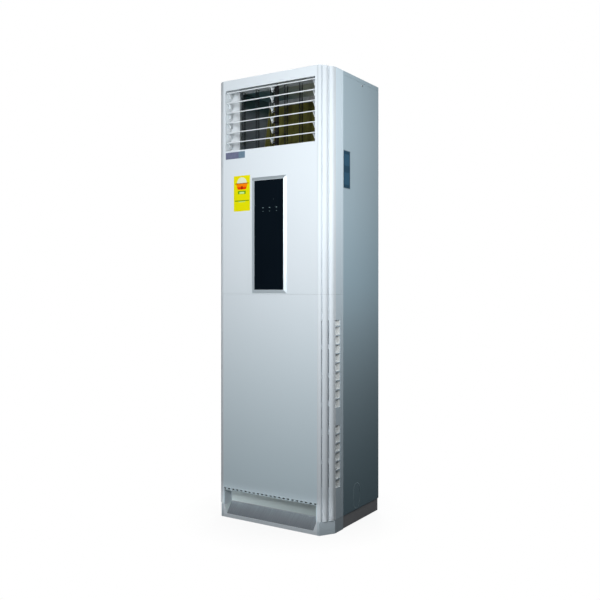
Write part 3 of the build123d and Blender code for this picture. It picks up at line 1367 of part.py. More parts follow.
def run_capacitor():
    """Box capacitor with two flat tabs."""
    y1 = INNER_Y - SHEET
    y0 = y1 - CAPACITOR_H
    x1, z1 = BOX_HALF - BOX_MARGIN, BOX_Z1 - BOX_MARGIN
    case = block(x1 - CAPACITOR_W, x1, y0, y1, z1 - CAPACITOR_H, z1)
    for share in (0.25, 0.65):
        x = x1 - CAPACITOR_W * share
        middle = z1 - CAPACITOR_H / 2
        case += block(x - TAB_W, x, y0 - TAB_W, y0 + 1, middle, middle + TAB_T)
    return case


# ------------------------------------------------------------------ write every piece
def main():
    os.makedirs("parts", exist_ok=True)
    save(base_tray(), "base_tray")
    save(base_plinth(), "base_plinth")
    save(toe_kick(), "toe_kick")
    save(rear_panel(), "rear_panel")
    right_side = side_panel()
    save(right_side, "right_side_panel")
    save(mirrored(right_side), "left_side_panel")
    save(top_cover(), "top_cover")
    save(cabinet_screws(), "cabinet_screws")
    save(upper_front_panel(), "upper_front_panel")
    save(lower_front_panel(), "lower_front_panel")
    save(outlet_frame(), "outlet_frame")
    for number in range(1, BLADE_COUNT + 1):
        save(louvre_blade(number), f"louvre_blade_{number}")
    save(louvre_link(), "louvre_link")
    save(louvre_strut(), "louvre_strut")
    for number in range(1, VANE_COUNT + 1):
        save(swing_vane(number), f"swing_vane_{number}")
    save(vane_link(), "vane_link")
    save(swing_motor(), "swing_motor")
    save(display_frame(), "display_frame")
    save(display_glass(), "display_glass")
    save(display_board(), "display_board")
    save(badge_plate(), "badge_plate")
    save(front_sticker(), "front_sticker")
    save(side_sticker(), "side_sticker")
    save(partition_plate(), "partition_plate")
    save(drain_pan(), "drain_pan")
    save(evaporator_fins(), "evaporator_fins")
    save(coil_end_plates(), "coil_end_plates")
    save(coil_baffle(), "coil_baffle")
    save(return_bends(), "return_bends")
    right_wall = side_duct_wall()
    save(right_wall, "right_duct_wall")
    save(mirrored(right_wall), "left_duct_wall")
    save(front_duct_wall(), "front_duct_wall")
    save(top_insulation(), "top_insulation")
    save(rear_insulation(), "rear_insulation")
    save(gas_pipe(), "gas_pipe")
    save(liquid_pipe(), "liquid_pipe")
    save(drain_hose(), "drain_hose")
    save(blower_housing(), "blower_housing")
    save(inlet_ring(), "inlet_ring")
    save(fan_wheel(), "fan_wheel")
    save(fan_shaft(), "fan_shaft")
    save(fan_motor(), "fan_motor")
    save(motor_bracket(), "motor_bracket")
    right_filter = air_filter()
    save(right_filter, "right_filter")
    save(mirrored(right_filter), "left_filter")
    save(control_box(), "control_box")
    save(control_box_cover(), "control_box_cover")
    save(control_board(), "control_board")
    save(terminal_block(), "terminal_block")
    save(run_capacitor(), "run_capacitor")


main()
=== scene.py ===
import math

import bmesh
import bpy
from bpy.props import FloatProperty, FloatVectorProperty, PointerProperty
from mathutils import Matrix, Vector


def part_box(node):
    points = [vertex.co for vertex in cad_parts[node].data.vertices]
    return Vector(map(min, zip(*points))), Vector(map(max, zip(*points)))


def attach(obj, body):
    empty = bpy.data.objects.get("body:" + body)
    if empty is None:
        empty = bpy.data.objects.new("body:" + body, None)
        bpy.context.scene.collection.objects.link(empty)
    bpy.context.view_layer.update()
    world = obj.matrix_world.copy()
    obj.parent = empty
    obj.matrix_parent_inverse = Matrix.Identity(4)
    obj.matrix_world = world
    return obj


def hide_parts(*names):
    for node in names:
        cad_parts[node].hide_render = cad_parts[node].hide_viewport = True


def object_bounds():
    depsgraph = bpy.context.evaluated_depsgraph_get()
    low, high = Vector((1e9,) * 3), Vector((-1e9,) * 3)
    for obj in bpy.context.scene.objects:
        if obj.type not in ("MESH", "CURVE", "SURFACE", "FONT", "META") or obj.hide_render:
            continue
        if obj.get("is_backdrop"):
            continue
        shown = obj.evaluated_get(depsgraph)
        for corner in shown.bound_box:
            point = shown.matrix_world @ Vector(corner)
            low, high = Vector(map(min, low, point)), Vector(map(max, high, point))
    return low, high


bl_info = {
    "name": "Floor standing air conditioner",
    "version": (1, 0, 0),
    "blender": (4, 5, 0),
    "location": "3D View > Sidebar > Cabinet unit",
    "description": "Finishes, coil fins and studio for a floor standing air conditioner",
    "category": "Object",
}

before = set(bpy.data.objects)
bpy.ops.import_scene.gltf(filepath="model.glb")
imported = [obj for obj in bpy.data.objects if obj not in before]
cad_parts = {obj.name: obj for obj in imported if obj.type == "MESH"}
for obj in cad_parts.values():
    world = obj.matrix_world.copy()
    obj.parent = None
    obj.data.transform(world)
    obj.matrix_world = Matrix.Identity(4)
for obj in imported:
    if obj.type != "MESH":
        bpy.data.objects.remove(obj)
MM = 0.001
BLACK = (0.0, 0.0, 0.0)
DUST = (0.42, 0.40, 0.37)

# Places that the finishes follow, in metres
COLUMN_FROM = 0.2265      # the beaded columns start here, out from the middle
SIDE_FROM = 0.061         # the columns' side faces start this far behind the front face
CELL_REACH = 0.016        # the inlet cells sink less than this into the side faces
RECESS_HALF = 0.2215      # half the width of the toe recess
RECESS_DEPTH = 0.048
RECESS_FLOOR_FRONT = 0.0160   # height of its sloping floor in front
RECESS_FLOOR_BACK = 0.0535    # and at the back
KNOCK_OUT_Y = 0.0192      # middle of the oblong knock-out in each side sheet
KNOCK_OUT_Z = 0.106
KNOCK_OUT_R = 0.024       # radius of its round ends
KNOCK_OUT_HALF = 0.025    # half of its straight sides


# ---------------------------------------------------------------- settings
def colour(name, description, default):
    return FloatVectorProperty(
        name=name, description=description, default=default, subtype="COLOR", size=3, min=0.0, max=1.0
    )


def length(name, description, default):
    return FloatProperty(
        name=name, description=description, default=default, unit="LENGTH", subtype="DISTANCE"
    )


def power(name, description, default):
    return FloatProperty(name=name, description=description, default=default, unit="POWER")


class CabinetSettings(bpy.types.PropertyGroup):
    """Colours and sizes of the finishes, the fins and the studio."""

    white: colour("White plastic", "Front panels and toe recess", (0.705, 0.775, 0.83))
    louvre: colour("Louvre plastic", "Blades and outlet frame", (0.76, 0.82, 0.86))
    # darker and bluer than the front's white: partly the sheets' own paint, partly painted shade on the
    # sides
    steel: colour("Cabinet paint", "Side, rear and top sheets", (0.385, 0.495, 0.56))
    base: colour("Base plastic", "Band round the foot of the cabinet", (0.36, 0.37, 0.385))
    silver: colour("Silver trim", "Frame of the display", (0.60, 0.69, 0.75))
    glass: colour("Display glass", "Dark smoked cover", (0.003, 0.006, 0.010))
    badge_left: colour("Badge, left", "Main field of the bare badge", (0.095, 0.112, 0.215))
    badge_right: colour("Badge, right", "Right-hand third of the bare badge", (0.085, 0.175, 0.255))
    yellow: colour("Front sticker", "Ground of the front sticker", (0.80, 0.78, 0.01))
    blue: colour("Side sticker", "Ground of the side sticker", (0.022, 0.063, 0.103))
    fins: colour("Fin coating", "Gold coated aluminium fins", (0.42, 0.41, 0.12))
    copper: colour("Copper", "Tubes of the coil", (0.72, 0.36, 0.22))
    foam: colour("Foam", "Insulation boards of the air duct", (0.25, 0.29, 0.335))
    fin_pitch: length("Fin pitch", "Distance between neighbouring fins", 2.0 * MM)
    fin_sheet: length("Fin thickness", "Thickness of one fin", 0.2 * MM)
    wave: length("Fin wave", "Depth of the fin's ripple", 0.5 * MM)
    front: power("Front light", "Power of the lamp in front", 29.0)
    side: power("Side light", "Power of the lamp on the right", 11.0)
    top: power("Top light", "Power of the lamp above the rear", 14.0)
    back: power("Back light", "Power of the lamp behind", 34.0)
    low: power("Low light", "Power of the strip before the toe recess", 0.045)
    fill: FloatProperty(name="Fill", description="Brightness of the room", default=0.01, min=0.0)


def settings():
    return bpy.context.scene.cabinet_settings


# ---------------------------------------------------------------- node helpers
class Finish:
    """A procedural material, built step by step on one shader."""

    def __init__(self, name, base, roughness, metallic=0.0, coat=0.0):
        self.material = bpy.data.materials.new(name)
        self.material.use_nodes = True
        self.material.diffuse_color = (*base, 1.0)
        self.work_on(self.material)
        self.shader.inputs["Base Color"].default_value = (*base, 1.0)
        self.shader.inputs["Roughness"].default_value = roughness
        self.shader.inputs["Metallic"].default_value = metallic
        self.shader.inputs["Coat Weight"].default_value = coat

    @classmethod
    def of(cls, material):
        """The same tools on a material that is already there."""
        made = cls.__new__(cls)
        made.work_on(material)
        return made

    def work_on(self, material):
        self.material = material
        self.tree = material.node_tree
        self.shader = next(n for n in self.tree.nodes if n.type == "BSDF_PRINCIPLED")
        self.place = self.add("ShaderNodeTexCoord").outputs["Object"]

    def add(self, kind, **values):
        made = self.tree.nodes.new(kind)
        for key, value in values.items():
            setattr(made, key, value)
        return made

    def feed(self, socket, value):
        """A link when value is another socket, otherwise its plain value."""
        if isinstance(value, bpy.types.NodeSocket):
            self.tree.links.new(value, socket)
        else:
            socket.default_value = value

    # textures
    def scaled(self, stretch):
        mapping = self.add("ShaderNodeMapping")
        self.feed(mapping.inputs["Vector"], self.place)
        mapping.inputs["Scale"].default_value = stretch
        return mapping.outputs["Vector"]

    def noise(self, scale, detail=3.0, stretch=(1.0, 1.0, 1.0)):
        texture = self.add("ShaderNodeTexNoise")
        self.feed(texture.inputs["Vector"], self.scaled(stretch))
        texture.inputs["Scale"].default_value = scale
        texture.inputs["Detail"].default_value = detail
        return texture.outputs["Fac"]

    def cells(self, scale, output="Color"):
        texture = self.add("ShaderNodeTexVoronoi")
        self.feed(texture.inputs["Vector"], self.place)
        texture.inputs["Scale"].default_value = scale
        return texture.outputs[output]

    def waves(self, per_metre, axis):
        texture = self.add("ShaderNodeTexWave", wave_type="BANDS", bands_direction=axis)
        self.feed(texture.inputs["Vector"], self.place)
        texture.inputs["Scale"].default_value = per_metre * math.pi / 10
        return texture.outputs["Fac"]

    # places in the row frame
    def axis(self, name):
        split = self.add("ShaderNodeSeparateXYZ")
        self.feed(split.inputs[0], self.place)
        return split.outputs[name]

    def off(self, name, middle=0.0):
        """Distance from a level across one axis of the row frame."""
        return self.maths("ABSOLUTE", self.maths("SUBTRACT", self.axis(name), middle))

    def inside(self, name, low, high):
        """1 where the row-frame coordinate lies between low and high."""
        return self.less(self.off(name, (low + high) / 2), (high - low) / 2)

    def patch(self, first, second):
        """1 inside a rectangle; each side is (axis, low, high)."""
        return self.all_of(self.inside(*first), self.inside(*second))

    # arithmetic
    def maths(self, operation, a, b=0.0, clamp=False):
        made = self.add("ShaderNodeMath", operation=operation, use_clamp=clamp)
        self.feed(made.inputs[0], a)
        self.feed(made.inputs[1], b)
        return made.outputs[0]

    def less(self, value, limit):
        return self.maths("LESS_THAN", value, limit)

    def more(self, value, limit):
        return self.maths("GREATER_THAN", value, limit)

    def all_of(self, first, *others):
        """The product: 1 where every mask is 1."""
        for other in others:
            first = self.maths("MULTIPLY", first, other)
        return first

    def root_of_squares(self, a, b):
        return self.maths("SQRT", self.maths("ADD", self.all_of(a, a), self.all_of(b, b)))

    def span(self, value, low, high, to_low=0.0, to_high=1.0):
        """Value between low and high, spread from to_low to to_high and held there."""
        made = self.add("ShaderNodeMapRange")
        for socket, given in zip(made.inputs, (value, low, high, to_low, to_high)):
            self.feed(socket, given)
        return made.outputs[0]

    def mix(self, factor, first, second):
        made = self.add("ShaderNodeMix", data_type="RGBA")
        inputs = [s for s in made.inputs if s.enabled]
        self.feed(inputs[0], factor)
        for socket, value in zip(inputs[1:], (first, second)):
            self.feed(socket, value if isinstance(value, bpy.types.NodeSocket) else (*value, 1.0))
        return next(s for s in made.outputs if s.enabled)

    # the shader's own inputs
    def paint(self, value):
        self.feed(self.shader.inputs["Base Color"], value)

    def painted(self):
        """What the base colour is fed with so far."""
        return self.shader.inputs["Base Color"].links[0].from_socket

    def rough(self, factor, low, high):
        self.feed(self.shader.inputs["Roughness"], self.span(factor, 0.0, 1.0, low, high))

    def specular(self, value):
        self.feed(self.shader.inputs["Specular IOR Level"], value)

    def bump(self, *layers):
        """Layers of (height, depth in metres), each on top of the one before."""
        normal = None
        for height, depth in layers:
            made = self.add("ShaderNodeBump")
            made.inputs["Distance"].default_value = depth
            self.feed(made.inputs["Height"], height)
            if normal is not None:
                self.feed(made.inputs["Normal"], normal)
            normal = made.outputs["Normal"]
        self.feed(self.shader.inputs["Normal"], normal)


def shade(base, factor):
    return tuple(min(1.0, part * factor) for part in base)


def tint(base, factors):
    return tuple(part * factor for part, factor in zip(base, factors))


# ---------------------------------------------------------------- plastics
def plastic(name, base, roughness, grain, dust=0.0):
    """Moulded plastic: fine grain, uneven gloss, and dust that gathers towards the floor."""
    made = Finish(name, base, roughness)
    look = made.mix(made.noise(3.5, 4.0), shade(base, 0.975), shade(base, 1.015))
    if dust:
        low = made.span(made.axis("Z"), 0.35, 0.0)
        speck = made.maths("MULTIPLY", low, made.span(made.noise(60.0), 0.42, 0.75), clamp=True)
        look = made.mix(made.all_of(speck, dust), look, DUST)
    made.paint(look)
    made.rough(made.noise(22.0, 5.0), roughness - 0.05, roughness + 0.06)
    made.bump((made.noise(grain, 2.0), 0.03 * MM))
    return made.material


def panel_plastic(name, base):
    """The front panels' plastic: glossy and flat in front, matt on the columns, with painted light and
    shade: a cooler front towards the foot, darker column tops, bluer grey side faces, pale lit inlet cells
    and a highlight along the rear rim.
    """
    material = plastic(name, base, 0.34, 260.0, dust=0.08)
    made = Finish.of(material)
    low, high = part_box("lower_front_panel")
    across = made.off("X")

    # the flat front, painted cooler towards the foot as a painted shade tint
    flat = made.less(across, COLUMN_FROM)
    flat_gloss, column_gloss = 0.3, 0.05
    made.specular(made.span(flat, 0.0, 1.0, column_gloss, flat_gloss))
    lower_flat = made.all_of(flat, made.span(made.axis("Z"), 1.0, 0.2))
    look = made.mix(lower_flat, made.painted(), tint(base, (0.89, 0.98, 1.0)))

    # the columns, with painted shade that darkens them towards the top, but not the top face itself
    under_top = made.less(made.axis("Z"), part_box("upper_front_panel")[1].z - 1.0 * MM)
    column = made.all_of(made.maths("SUBTRACT", 1.0, flat), under_top)
    column_top_shade = made.span(made.axis("Z"), 1.2, 1.75, 0.06, 0.24)
    look = made.mix(made.all_of(column, column_top_shade), look, BLACK)

    # the columns' side faces in painted shade, the inlet cells sunk into them painted pale as if lit, and
    # the fine rim at the rear with a painted highlight
    behind = made.more(made.axis("Y"), low.y + SIDE_FROM)
    side = made.all_of(behind, made.more(across, high.x - 1.4 * MM))
    cell = made.all_of(behind, made.less(across, high.x - 1.6 * MM), made.more(across, high.x - CELL_REACH))
    rim = made.all_of(side, made.more(made.axis("Y"), high.y - 4.0 * MM))
    # painted shade: the side faces turn a darker, bluer grey than the front
    look = made.mix(made.all_of(side, 0.9), look, (0.60, 0.72, 0.80))
    # painted light: the inlet cells turn near white, as if lit
    look = made.mix(made.all_of(cell, 0.9), look, (0.95, 1.0, 1.0))
    # painted highlight: a pale line along the rim at the rear
    made.paint(made.mix(rim, look, (0.88, 0.95, 0.98)))
    return material


def recess_plastic(name, base):
    """The toe-kick moulding with painted shade: a pale grey-green back wall in the recess, a dark grey
    fluted floor with darker streaks, and darker column feet.
    """
    made = Finish(name, base, 0.45)
    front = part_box("toe_kick")[0].y
    across = made.off("X")
    deep = made.more(made.axis("Y"), front + 2.0 * MM)
    mouth = made.all_of(deep, made.less(across, RECESS_HALF))

    # the sloping floor in painted shade, dark at the front and lighter up to the fold, with darker streaks
    # along the flutes
    slope = made.span(
        made.axis("Y"), front, front + RECESS_DEPTH, RECESS_FLOOR_FRONT, RECESS_FLOOR_BACK
    )
    floor = made.all_of(mouth, made.less(made.axis("Z"), slope))
    climb = made.span(made.axis("Z"), RECESS_FLOOR_FRONT - 1.5 * MM, RECESS_FLOOR_BACK - 0.5 * MM)
    floor_shade = made.mix(climb, (0.195, 0.220, 0.246), (0.34, 0.40, 0.45))
    streak = made.noise(90.0, 3.0, (1.0, 0.05, 0.05))
    floor_shade = made.mix(made.all_of(streak, 0.55), floor_shade, (0.165, 0.178, 0.197))

    # the wall behind it in a painted shade of pale grey-green, darker towards the right, with a painted
    # shade line along the fold
    wall = made.mix(made.noise(20.0, 4.0), (0.56, 0.66, 0.67), (0.64, 0.73, 0.74))
    wall = made.mix(made.span(made.axis("X"), -0.20, 0.22), wall, (0.34, 0.405, 0.41))
    fold = made.less(made.off("Z", RECESS_FLOOR_BACK + 0.1 * MM), 1.4 * MM)
    wall = made.mix(made.all_of(fold, deep), wall, (0.30, 0.33, 0.34))

    # the lip, and the column feet in a painted shade of grey-blue
    lip = made.mix(made.noise(3.5, 4.0), shade(base, 0.94), shade(base, 0.99))
    feet = made.mix(made.noise(3.5, 4.0), (0.51, 0.60, 0.655), (0.54, 0.63, 0.69))
    look = made.mix(made.more(across, COLUMN_FROM), lip, feet)
    look = made.mix(mouth, look, wall)
    made.paint(made.mix(floor, look, floor_shade))
    made.rough(made.noise(22.0, 5.0), 0.40, 0.52)
    made.bump((made.noise(260.0, 2.0), 0.03 * MM))
    return made.material


def chamber_plastic(name, base):
    """Frame behind the outlet: white at the mouth, its ceiling in painted shade, dark blue-green towards
    the left, and a painted pale reflection of the gold fins towards the right.
    """
    material = plastic(name, base, 0.38, 300.0)
    made = Finish.of(material)
    ceiling = made.more(made.axis("Z"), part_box("louvre_blade_1")[1].z + 8.0 * MM)
    # painted shade on the left of the ceiling, and a painted reflection of the fins on the right
    shade_and_fin_reflection = made.mix(made.span(made.axis("X"), -0.20, 0.10), (0.03, 0.07, 0.075), (0.85, 0.95, 0.80))
    made.paint(made.mix(ceiling, made.painted(), shade_and_fin_reflection))
    return material


def vane_face(name):
    """Smoked clear plastic of the upright vanes, with painted shade: black along both long edges."""
    made = Finish(name, (0.05, 0.062, 0.075), 0.3)
    low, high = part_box("swing_vane_1")
    edge = 2.4 * MM
    face = made.inside("Y", low.y + edge, high.y - edge)
    grain = made.mix(made.noise(30.0, 4.0), (0.045, 0.056, 0.068), (0.060, 0.072, 0.085))
    # painted shade: opaque black bands along both long edges
    made.paint(made.mix(face, (0.008, 0.011, 0.014), grain))
    made.feed(made.shader.inputs["Alpha"], made.span(face, 0.0, 1.0, 1.0, 0.14))
    made.rough(made.noise(40.0), 0.40, 0.55)
    made.bump((made.noise(300.0), 0.03 * MM))
    return made.material


def ribbed(name, base, per_metre, axis, depth):
    """Ribbed hose or woven net."""
    made = Finish(name, base, 0.6)
    wave = made.waves(per_metre, axis)
    # painted shade: darker in the troughs between the ribs
    made.paint(made.mix(wave, shade(base, 0.7), base))
    made.rough(made.noise(40.0), 0.5, 0.7)
    made.bump((wave, depth * MM))
    return made.material


# ---------------------------------------------------------------- sheet, metal and foam
def knock_out_highlight(made):
    """1 on the painted highlight: a pale patchy ring just outside the knock-outs of the side sheets."""
    across = made.maths("SUBTRACT", made.axis("Y"), KNOCK_OUT_Y)
    beyond = made.maths("SUBTRACT", made.off("Z", KNOCK_OUT_Z), KNOCK_OUT_HALF)
    beyond = made.maths("MAXIMUM", beyond, 0.0)
    from_rim = made.maths("SUBTRACT", made.root_of_squares(across, beyond), KNOCK_OUT_R + 0.7 * MM)
    rim = made.less(made.maths("ABSOLUTE", from_rim), 0.9 * MM)
    patchy = made.span(made.noise(30.0, 2.0), 0.40, 0.52)
    return made.all_of(rim, patchy)


def paint_coat(name, base, roughness):
    """Powder coat on sheet steel: orange peel, faint rubbing marks, a painted lighter band round the middle
    height, painted shade towards the foot, and a painted highlight round the knock-outs.
    """
    made = Finish(name, base, roughness)
    look = made.mix(made.noise(2.2, 3.0), shade(base, 0.97), shade(base, 1.01))
    # painted light: paler and bluer round the middle height
    middle = made.span(made.off("Z", 0.95), 0.45, 0.0)
    look = made.mix(middle, look, tint(base, (1.03, 1.10, 1.13)))
    # painted shade: darker and bluer towards the foot
    low_shade = made.span(made.axis("Z"), 0.85, 0.05, 0.0, 0.52)
    look = made.mix(low_shade, look, (0.02, 0.11, 0.15))
    # painted highlight: a pale ring round each knock-out
    made.paint(made.mix(knock_out_highlight(made), look, (0.62, 0.80, 0.88)))
    rubbed = made.noise(9.0, 6.0, (1.0, 1.0, 0.25))
    made.rough(rubbed, roughness - 0.06, roughness + 0.08)
    made.bump((made.noise(2.0, 1.0), 0.8 * MM), (made.noise(420.0, 1.0), 0.04 * MM))
    return made.material


def zinc(name):
    """Galvanised sheet with its spangle."""
    made = Finish(name, (0.58, 0.60, 0.62), 0.42, metallic=0.85)
    grain = made.add("ShaderNodeRGBToBW")
    made.feed(grain.inputs[0], made.cells(120.0))
    made.paint(made.mix(grain.outputs[0], (0.50, 0.52, 0.55), (0.66, 0.68, 0.70)))
    made.rough(grain.outputs[0], 0.32, 0.52)
    made.bump((made.noise(300.0), 0.02 * MM))
    return made.material


def metal(name, base, roughness, stretch, depth=0.02, metallic=1.0):
    """Worked metal with fine marks along one direction and a little tarnish."""
    made = Finish(name, base, roughness, metallic=metallic)
    marks = made.noise(500.0, 3.0, stretch)
    tarnish = made.noise(18.0, 5.0)
    made.paint(made.mix(tarnish, shade(base, 0.78), shade(base, 1.05)))
    made.rough(marks, roughness - 0.08, roughness + 0.12)
    made.bump((marks, depth * MM))
    return made.material


def fin_coating(name, base):
    """Gold coating of the fins, with painted shadow streaks along them."""
    material = metal(name, base, 0.38, (1.0, 1.0, 0.2), 0.01, 0.35)
    made = Finish.of(material)
    # painted shade: dark streaks running up the fins
    shadow_streaks = made.span(made.noise(26.0, 5.0, (1.6, 1.0, 0.35)), 0.42, 0.66, 0.0, 0.75)
    made.paint(made.mix(shadow_streaks, made.painted(), shade(base, 0.22)))
    return material


def silver_trim(name, base):
    """Satin silver plastic of the display's frame, with painted shade on the bevel that looks up."""
    made = Finish(name, base, 0.3, metallic=0.25)
    look = made.mix(made.noise(900.0), shade(base, 0.92), shade(base, 1.08))
    upper = made.more(made.axis("Z"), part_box("display_frame")[1].z - 11.0 * MM)
    # painted shade: the upper bevel darker
    made.paint(made.mix(made.all_of(upper, 0.9), look, shade(base, 0.6)))
    made.rough(made.noise(30.0, 5.0), 0.26, 0.38)
    made.bump((made.noise(800.0), 0.01 * MM))
    return made.material


def foam(name, base):
    """Closed-cell foam board."""
    made = Finish(name, base, 0.85)
    bead = made.cells(260.0, "Distance")
    made.paint(made.mix(made.noise(14.0, 4.0), shade(base, 0.85), shade(base, 1.12)))
    made.rough(made.noise(60.0), 0.78, 0.94)
    made.bump((bead, 0.25 * MM))
    return made.material


def duct_foam(name, base):
    """Foam of the duct's walls, with a painted shade of dark blue-green high up on the left."""
    material = foam(name, base)
    made = Finish.of(material)
    high_up = made.span(made.axis("Z"), 1.66, 1.71)
    on_left = made.span(made.axis("X"), 0.05, -0.05)
    # painted shade: dark blue-green high up on the left
    made.paint(made.mix(made.all_of(high_up, on_left), made.painted(), (0.03, 0.08, 0.085)))
    return material


def ceiling_foam(name, base):
    """Foam above the duct: painted shade of dark blue-green on the left, and a painted pale olive
    reflection of the gold fins on the right.
    """
    material = foam(name, base)
    made = Finish.of(material)
    # painted shade on the left, painted reflection of the fins on the right
    shade_and_fin_reflection = made.mix(made.span(made.axis("X"), -0.14, 0.06), (0.07, 0.17, 0.19), (0.56, 0.60, 0.50))
    made.paint(made.mix(0.9, made.painted(), shade_and_fin_reflection))
    return material


# ---------------------------------------------------------------- display, badge and stickers
def circuit(name):
    """Green board with a fine pattern of tracks."""
    made = Finish(name, (0.02, 0.12, 0.06), 0.35)
    upright = made.add("ShaderNodeMapping")
    made.feed(upright.inputs["Vector"], made.place)
    upright.inputs["Rotation"].default_value = (math.radians(90), 0.0, 0.0)
    tracks = made.add("ShaderNodeTexBrick")
    made.feed(tracks.inputs["Vector"], upright.outputs["Vector"])
    tracks.inputs["Scale"].default_value = 60.0
    tracks.inputs["Mortar Size"].default_value = 0.05
    made.paint(made.mix(tracks.outputs["Fac"], (0.015, 0.10, 0.05), (0.16, 0.30, 0.12)))
    made.rough(made.noise(40.0), 0.28, 0.45)
    made.bump((tracks.outputs["Fac"], 0.05 * MM))
    return made.material


def display_cover(name, base):
    """Dark glossy cover with a few faint lamps behind it: two rows of three, and one above."""
    made = Finish(name, base, 0.12)
    made.specular(0.03)
    made.paint(made.mix(made.noise(5.0), shade(base, 0.8), shade(base, 1.25)))
    made.rough(made.noise(14.0, 6.0), 0.09, 0.17)
    lamps = []      # middle, width and height in millimetres, and brightness
    for z, wide, tall, level in ((1252, 6, 2.4, 1.0), (1238, 4, 2.0, 0.6)):
        lamps += [(x, z, wide, tall, level) for x in (-24, 8, 41)]
    lamps.append((27, 1284, 3, 2.0, 0.25))
    glow = 0.0
    for x, z, wide, tall, level in lamps:
        across = ("X", (x - wide / 2) * MM, (x + wide / 2) * MM)
        upright = ("Z", (z - tall / 2) * MM, (z + tall / 2) * MM)
        glow = made.maths("ADD", glow, made.all_of(made.patch(across, upright), level))
    made.shader.inputs["Emission Color"].default_value = (0.55, 0.80, 0.85, 1.0)
    made.feed(made.shader.inputs["Emission Strength"], made.all_of(glow, 0.35))
    made.bump((made.noise(30.0, 2.0), 0.01 * MM))
    return made.material


def badge(name, left, right):
    """Bare badge in two tones, the right-hand third in the second."""
    made = Finish(name, left, 0.3, coat=0.3)
    low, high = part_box("badge_plate")
    third = low.x + (high.x - low.x) * 0.68
    two_tone = made.mix(made.more(made.axis("X"), third), left, right)
    made.paint(made.mix(made.all_of(made.noise(70.0), 0.25), two_tone, (0.55, 0.57, 0.62)))
    made.rough(made.noise(40.0), 0.22, 0.38)
    made.bump((made.noise(500.0), 0.02 * MM))
    return made.material


def front_sticker(name, ground):
    """Sticker with plain shapes: a pale dome over an orange cup, a small green field, a green rule."""
    made = Finish(name, ground, 0.5)
    made.specular(0.1)
    low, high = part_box("front_sticker")
    width, tall = high.x - low.x, high.z - low.z
    along = made.span(made.axis("X"), low.x, high.x)
    up = made.span(made.axis("Z"), low.z, high.z)
    off_middle = made.maths("ABSOLUTE", made.maths("SUBTRACT", along, 0.5))

    def band(bottom, top, half_low, half_high):
        """1 between two heights, as wide as half_low at the bottom and half_high at the top."""
        reach = made.span(up, bottom, top, half_low, half_high)
        off_level = made.maths("ABSOLUTE", made.maths("SUBTRACT", up, (bottom + top) / 2))
        return made.all_of(made.less(off_middle, reach), made.less(off_level, (top - bottom) / 2))

    look = made.mix(made.noise(14.0, 2.0), (0.70, 0.76, 0.0), (0.80, 0.66, 0.0))
    dome_foot, dome_radius = 0.78, 0.30
    rise = made.all_of(made.maths("SUBTRACT", up, dome_foot), tall)
    reach = made.root_of_squares(made.all_of(off_middle, width), rise)
    dome = made.all_of(made.less(reach, width * dome_radius), made.more(rise, 0.0))
    look = made.mix(dome, look, (0.70, 0.76, 0.58))

    # bottom, top, half width at the bottom and at the top, as shares of the sticker, and the tone
    for bottom, top, half_low, half_high, tone in (
        (0.68, 0.77, 0.30, 0.36, (0.90, 0.22, 0.0)),      # cup, upper part
        (0.61, 0.68, 0.25, 0.30, (0.75, 0.05, 0.0)),      # cup, lower part
        (0.61, 0.70, 0.07, 0.07, (0.42, 0.02, 0.0)),      # mark in the cup
        (0.77, 0.79, 0.41, 0.41, (0.30, 0.09, 0.0)),      # brim
        (0.48, 0.57, 0.24, 0.24, (0.13, 0.36, 0.0)),      # green field
        (0.49, 0.54, 0.15, 0.15, (0.55, 0.82, 0.30)),     # pale mark in it
        (0.25, 0.28, 0.20, 0.20, (0.50, 0.76, 0.16)),     # pale strip under the rule
        (0.28, 0.305, 0.44, 0.44, (0.16, 0.30, 0.0)),     # green rule
    ):
        look = made.mix(band(bottom, top, half_low, half_high), look, tone)
    made.paint(look)
    made.rough(made.noise(60.0), 0.45, 0.60)
    made.bump((made.noise(240.0), 0.01 * MM))
    return made.material


def side_sticker(name, ground):
    """Plain dark sticker with a paler border and two blank fields."""
    made = Finish(name, ground, 0.4)
    low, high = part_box("side_sticker")
    rim, tall = 2.2 * MM, high.z - low.z
    field = made.patch(("Y", low.y + rim, high.y - rim), ("Z", low.z + rim, high.z - rim))
    patchy = made.mix(made.noise(12.0), shade(ground, 0.85), shade(ground, 1.3))
    look = made.mix(field, (0.20, 0.27, 0.31), patchy)
    for bottom, top in ((0.60, 0.90), (0.10, 0.42)):
        across = ("Y", low.y + 3 * rim, high.y - 3 * rim)
        blank = made.patch(across, ("Z", low.z + tall * bottom, low.z + tall * top))
        look = made.mix(made.all_of(blank, 0.5), look, shade(ground, 2.2))
    made.paint(look)
    made.rough(made.noise(50.0), 0.33, 0.48)
    made.bump((made.noise(240.0), 0.01 * MM))
    return made.material


# ---------------------------------------------------------------- nodes and meshes
def cover_with(material, *nodes):
    """Puts one material on CAD nodes."""
    for name in nodes:
        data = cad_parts[name].data
        data.materials.clear()
        data.materials.append(material)


def numbered(stem, count):
    return [f"{stem}_{number}" for number in range(1, count + 1)]


def object_from(name, mesh_builder):
    """A new mesh object filled by mesh_builder(bm)."""
    bm = bmesh.new()
    mesh_builder(bm)
    bmesh.ops.recalc_face_normals(bm, faces=bm.faces)
    data = bpy.data.meshes.new(name)
    bm.to_mesh(data)
    bm.free()
    made = bpy.data.objects.new(name, data)
    bpy.context.scene.collection.objects.link(made)
    return made


def add_loft(bm, rings):
    """Faces between successive rings of points, and a face on each end."""
    verts = [[bm.verts.new(p) for p in ring] for ring in rings]
    for first, second in zip(verts, verts[1:]):
        count = len(first)
        for index in range(count):
            after = (index + 1) % count
            bm.faces.new((first[index], first[after], second[after], second[index]))
    bm.faces.new(verts[0])
    bm.faces.new(verts[-1])


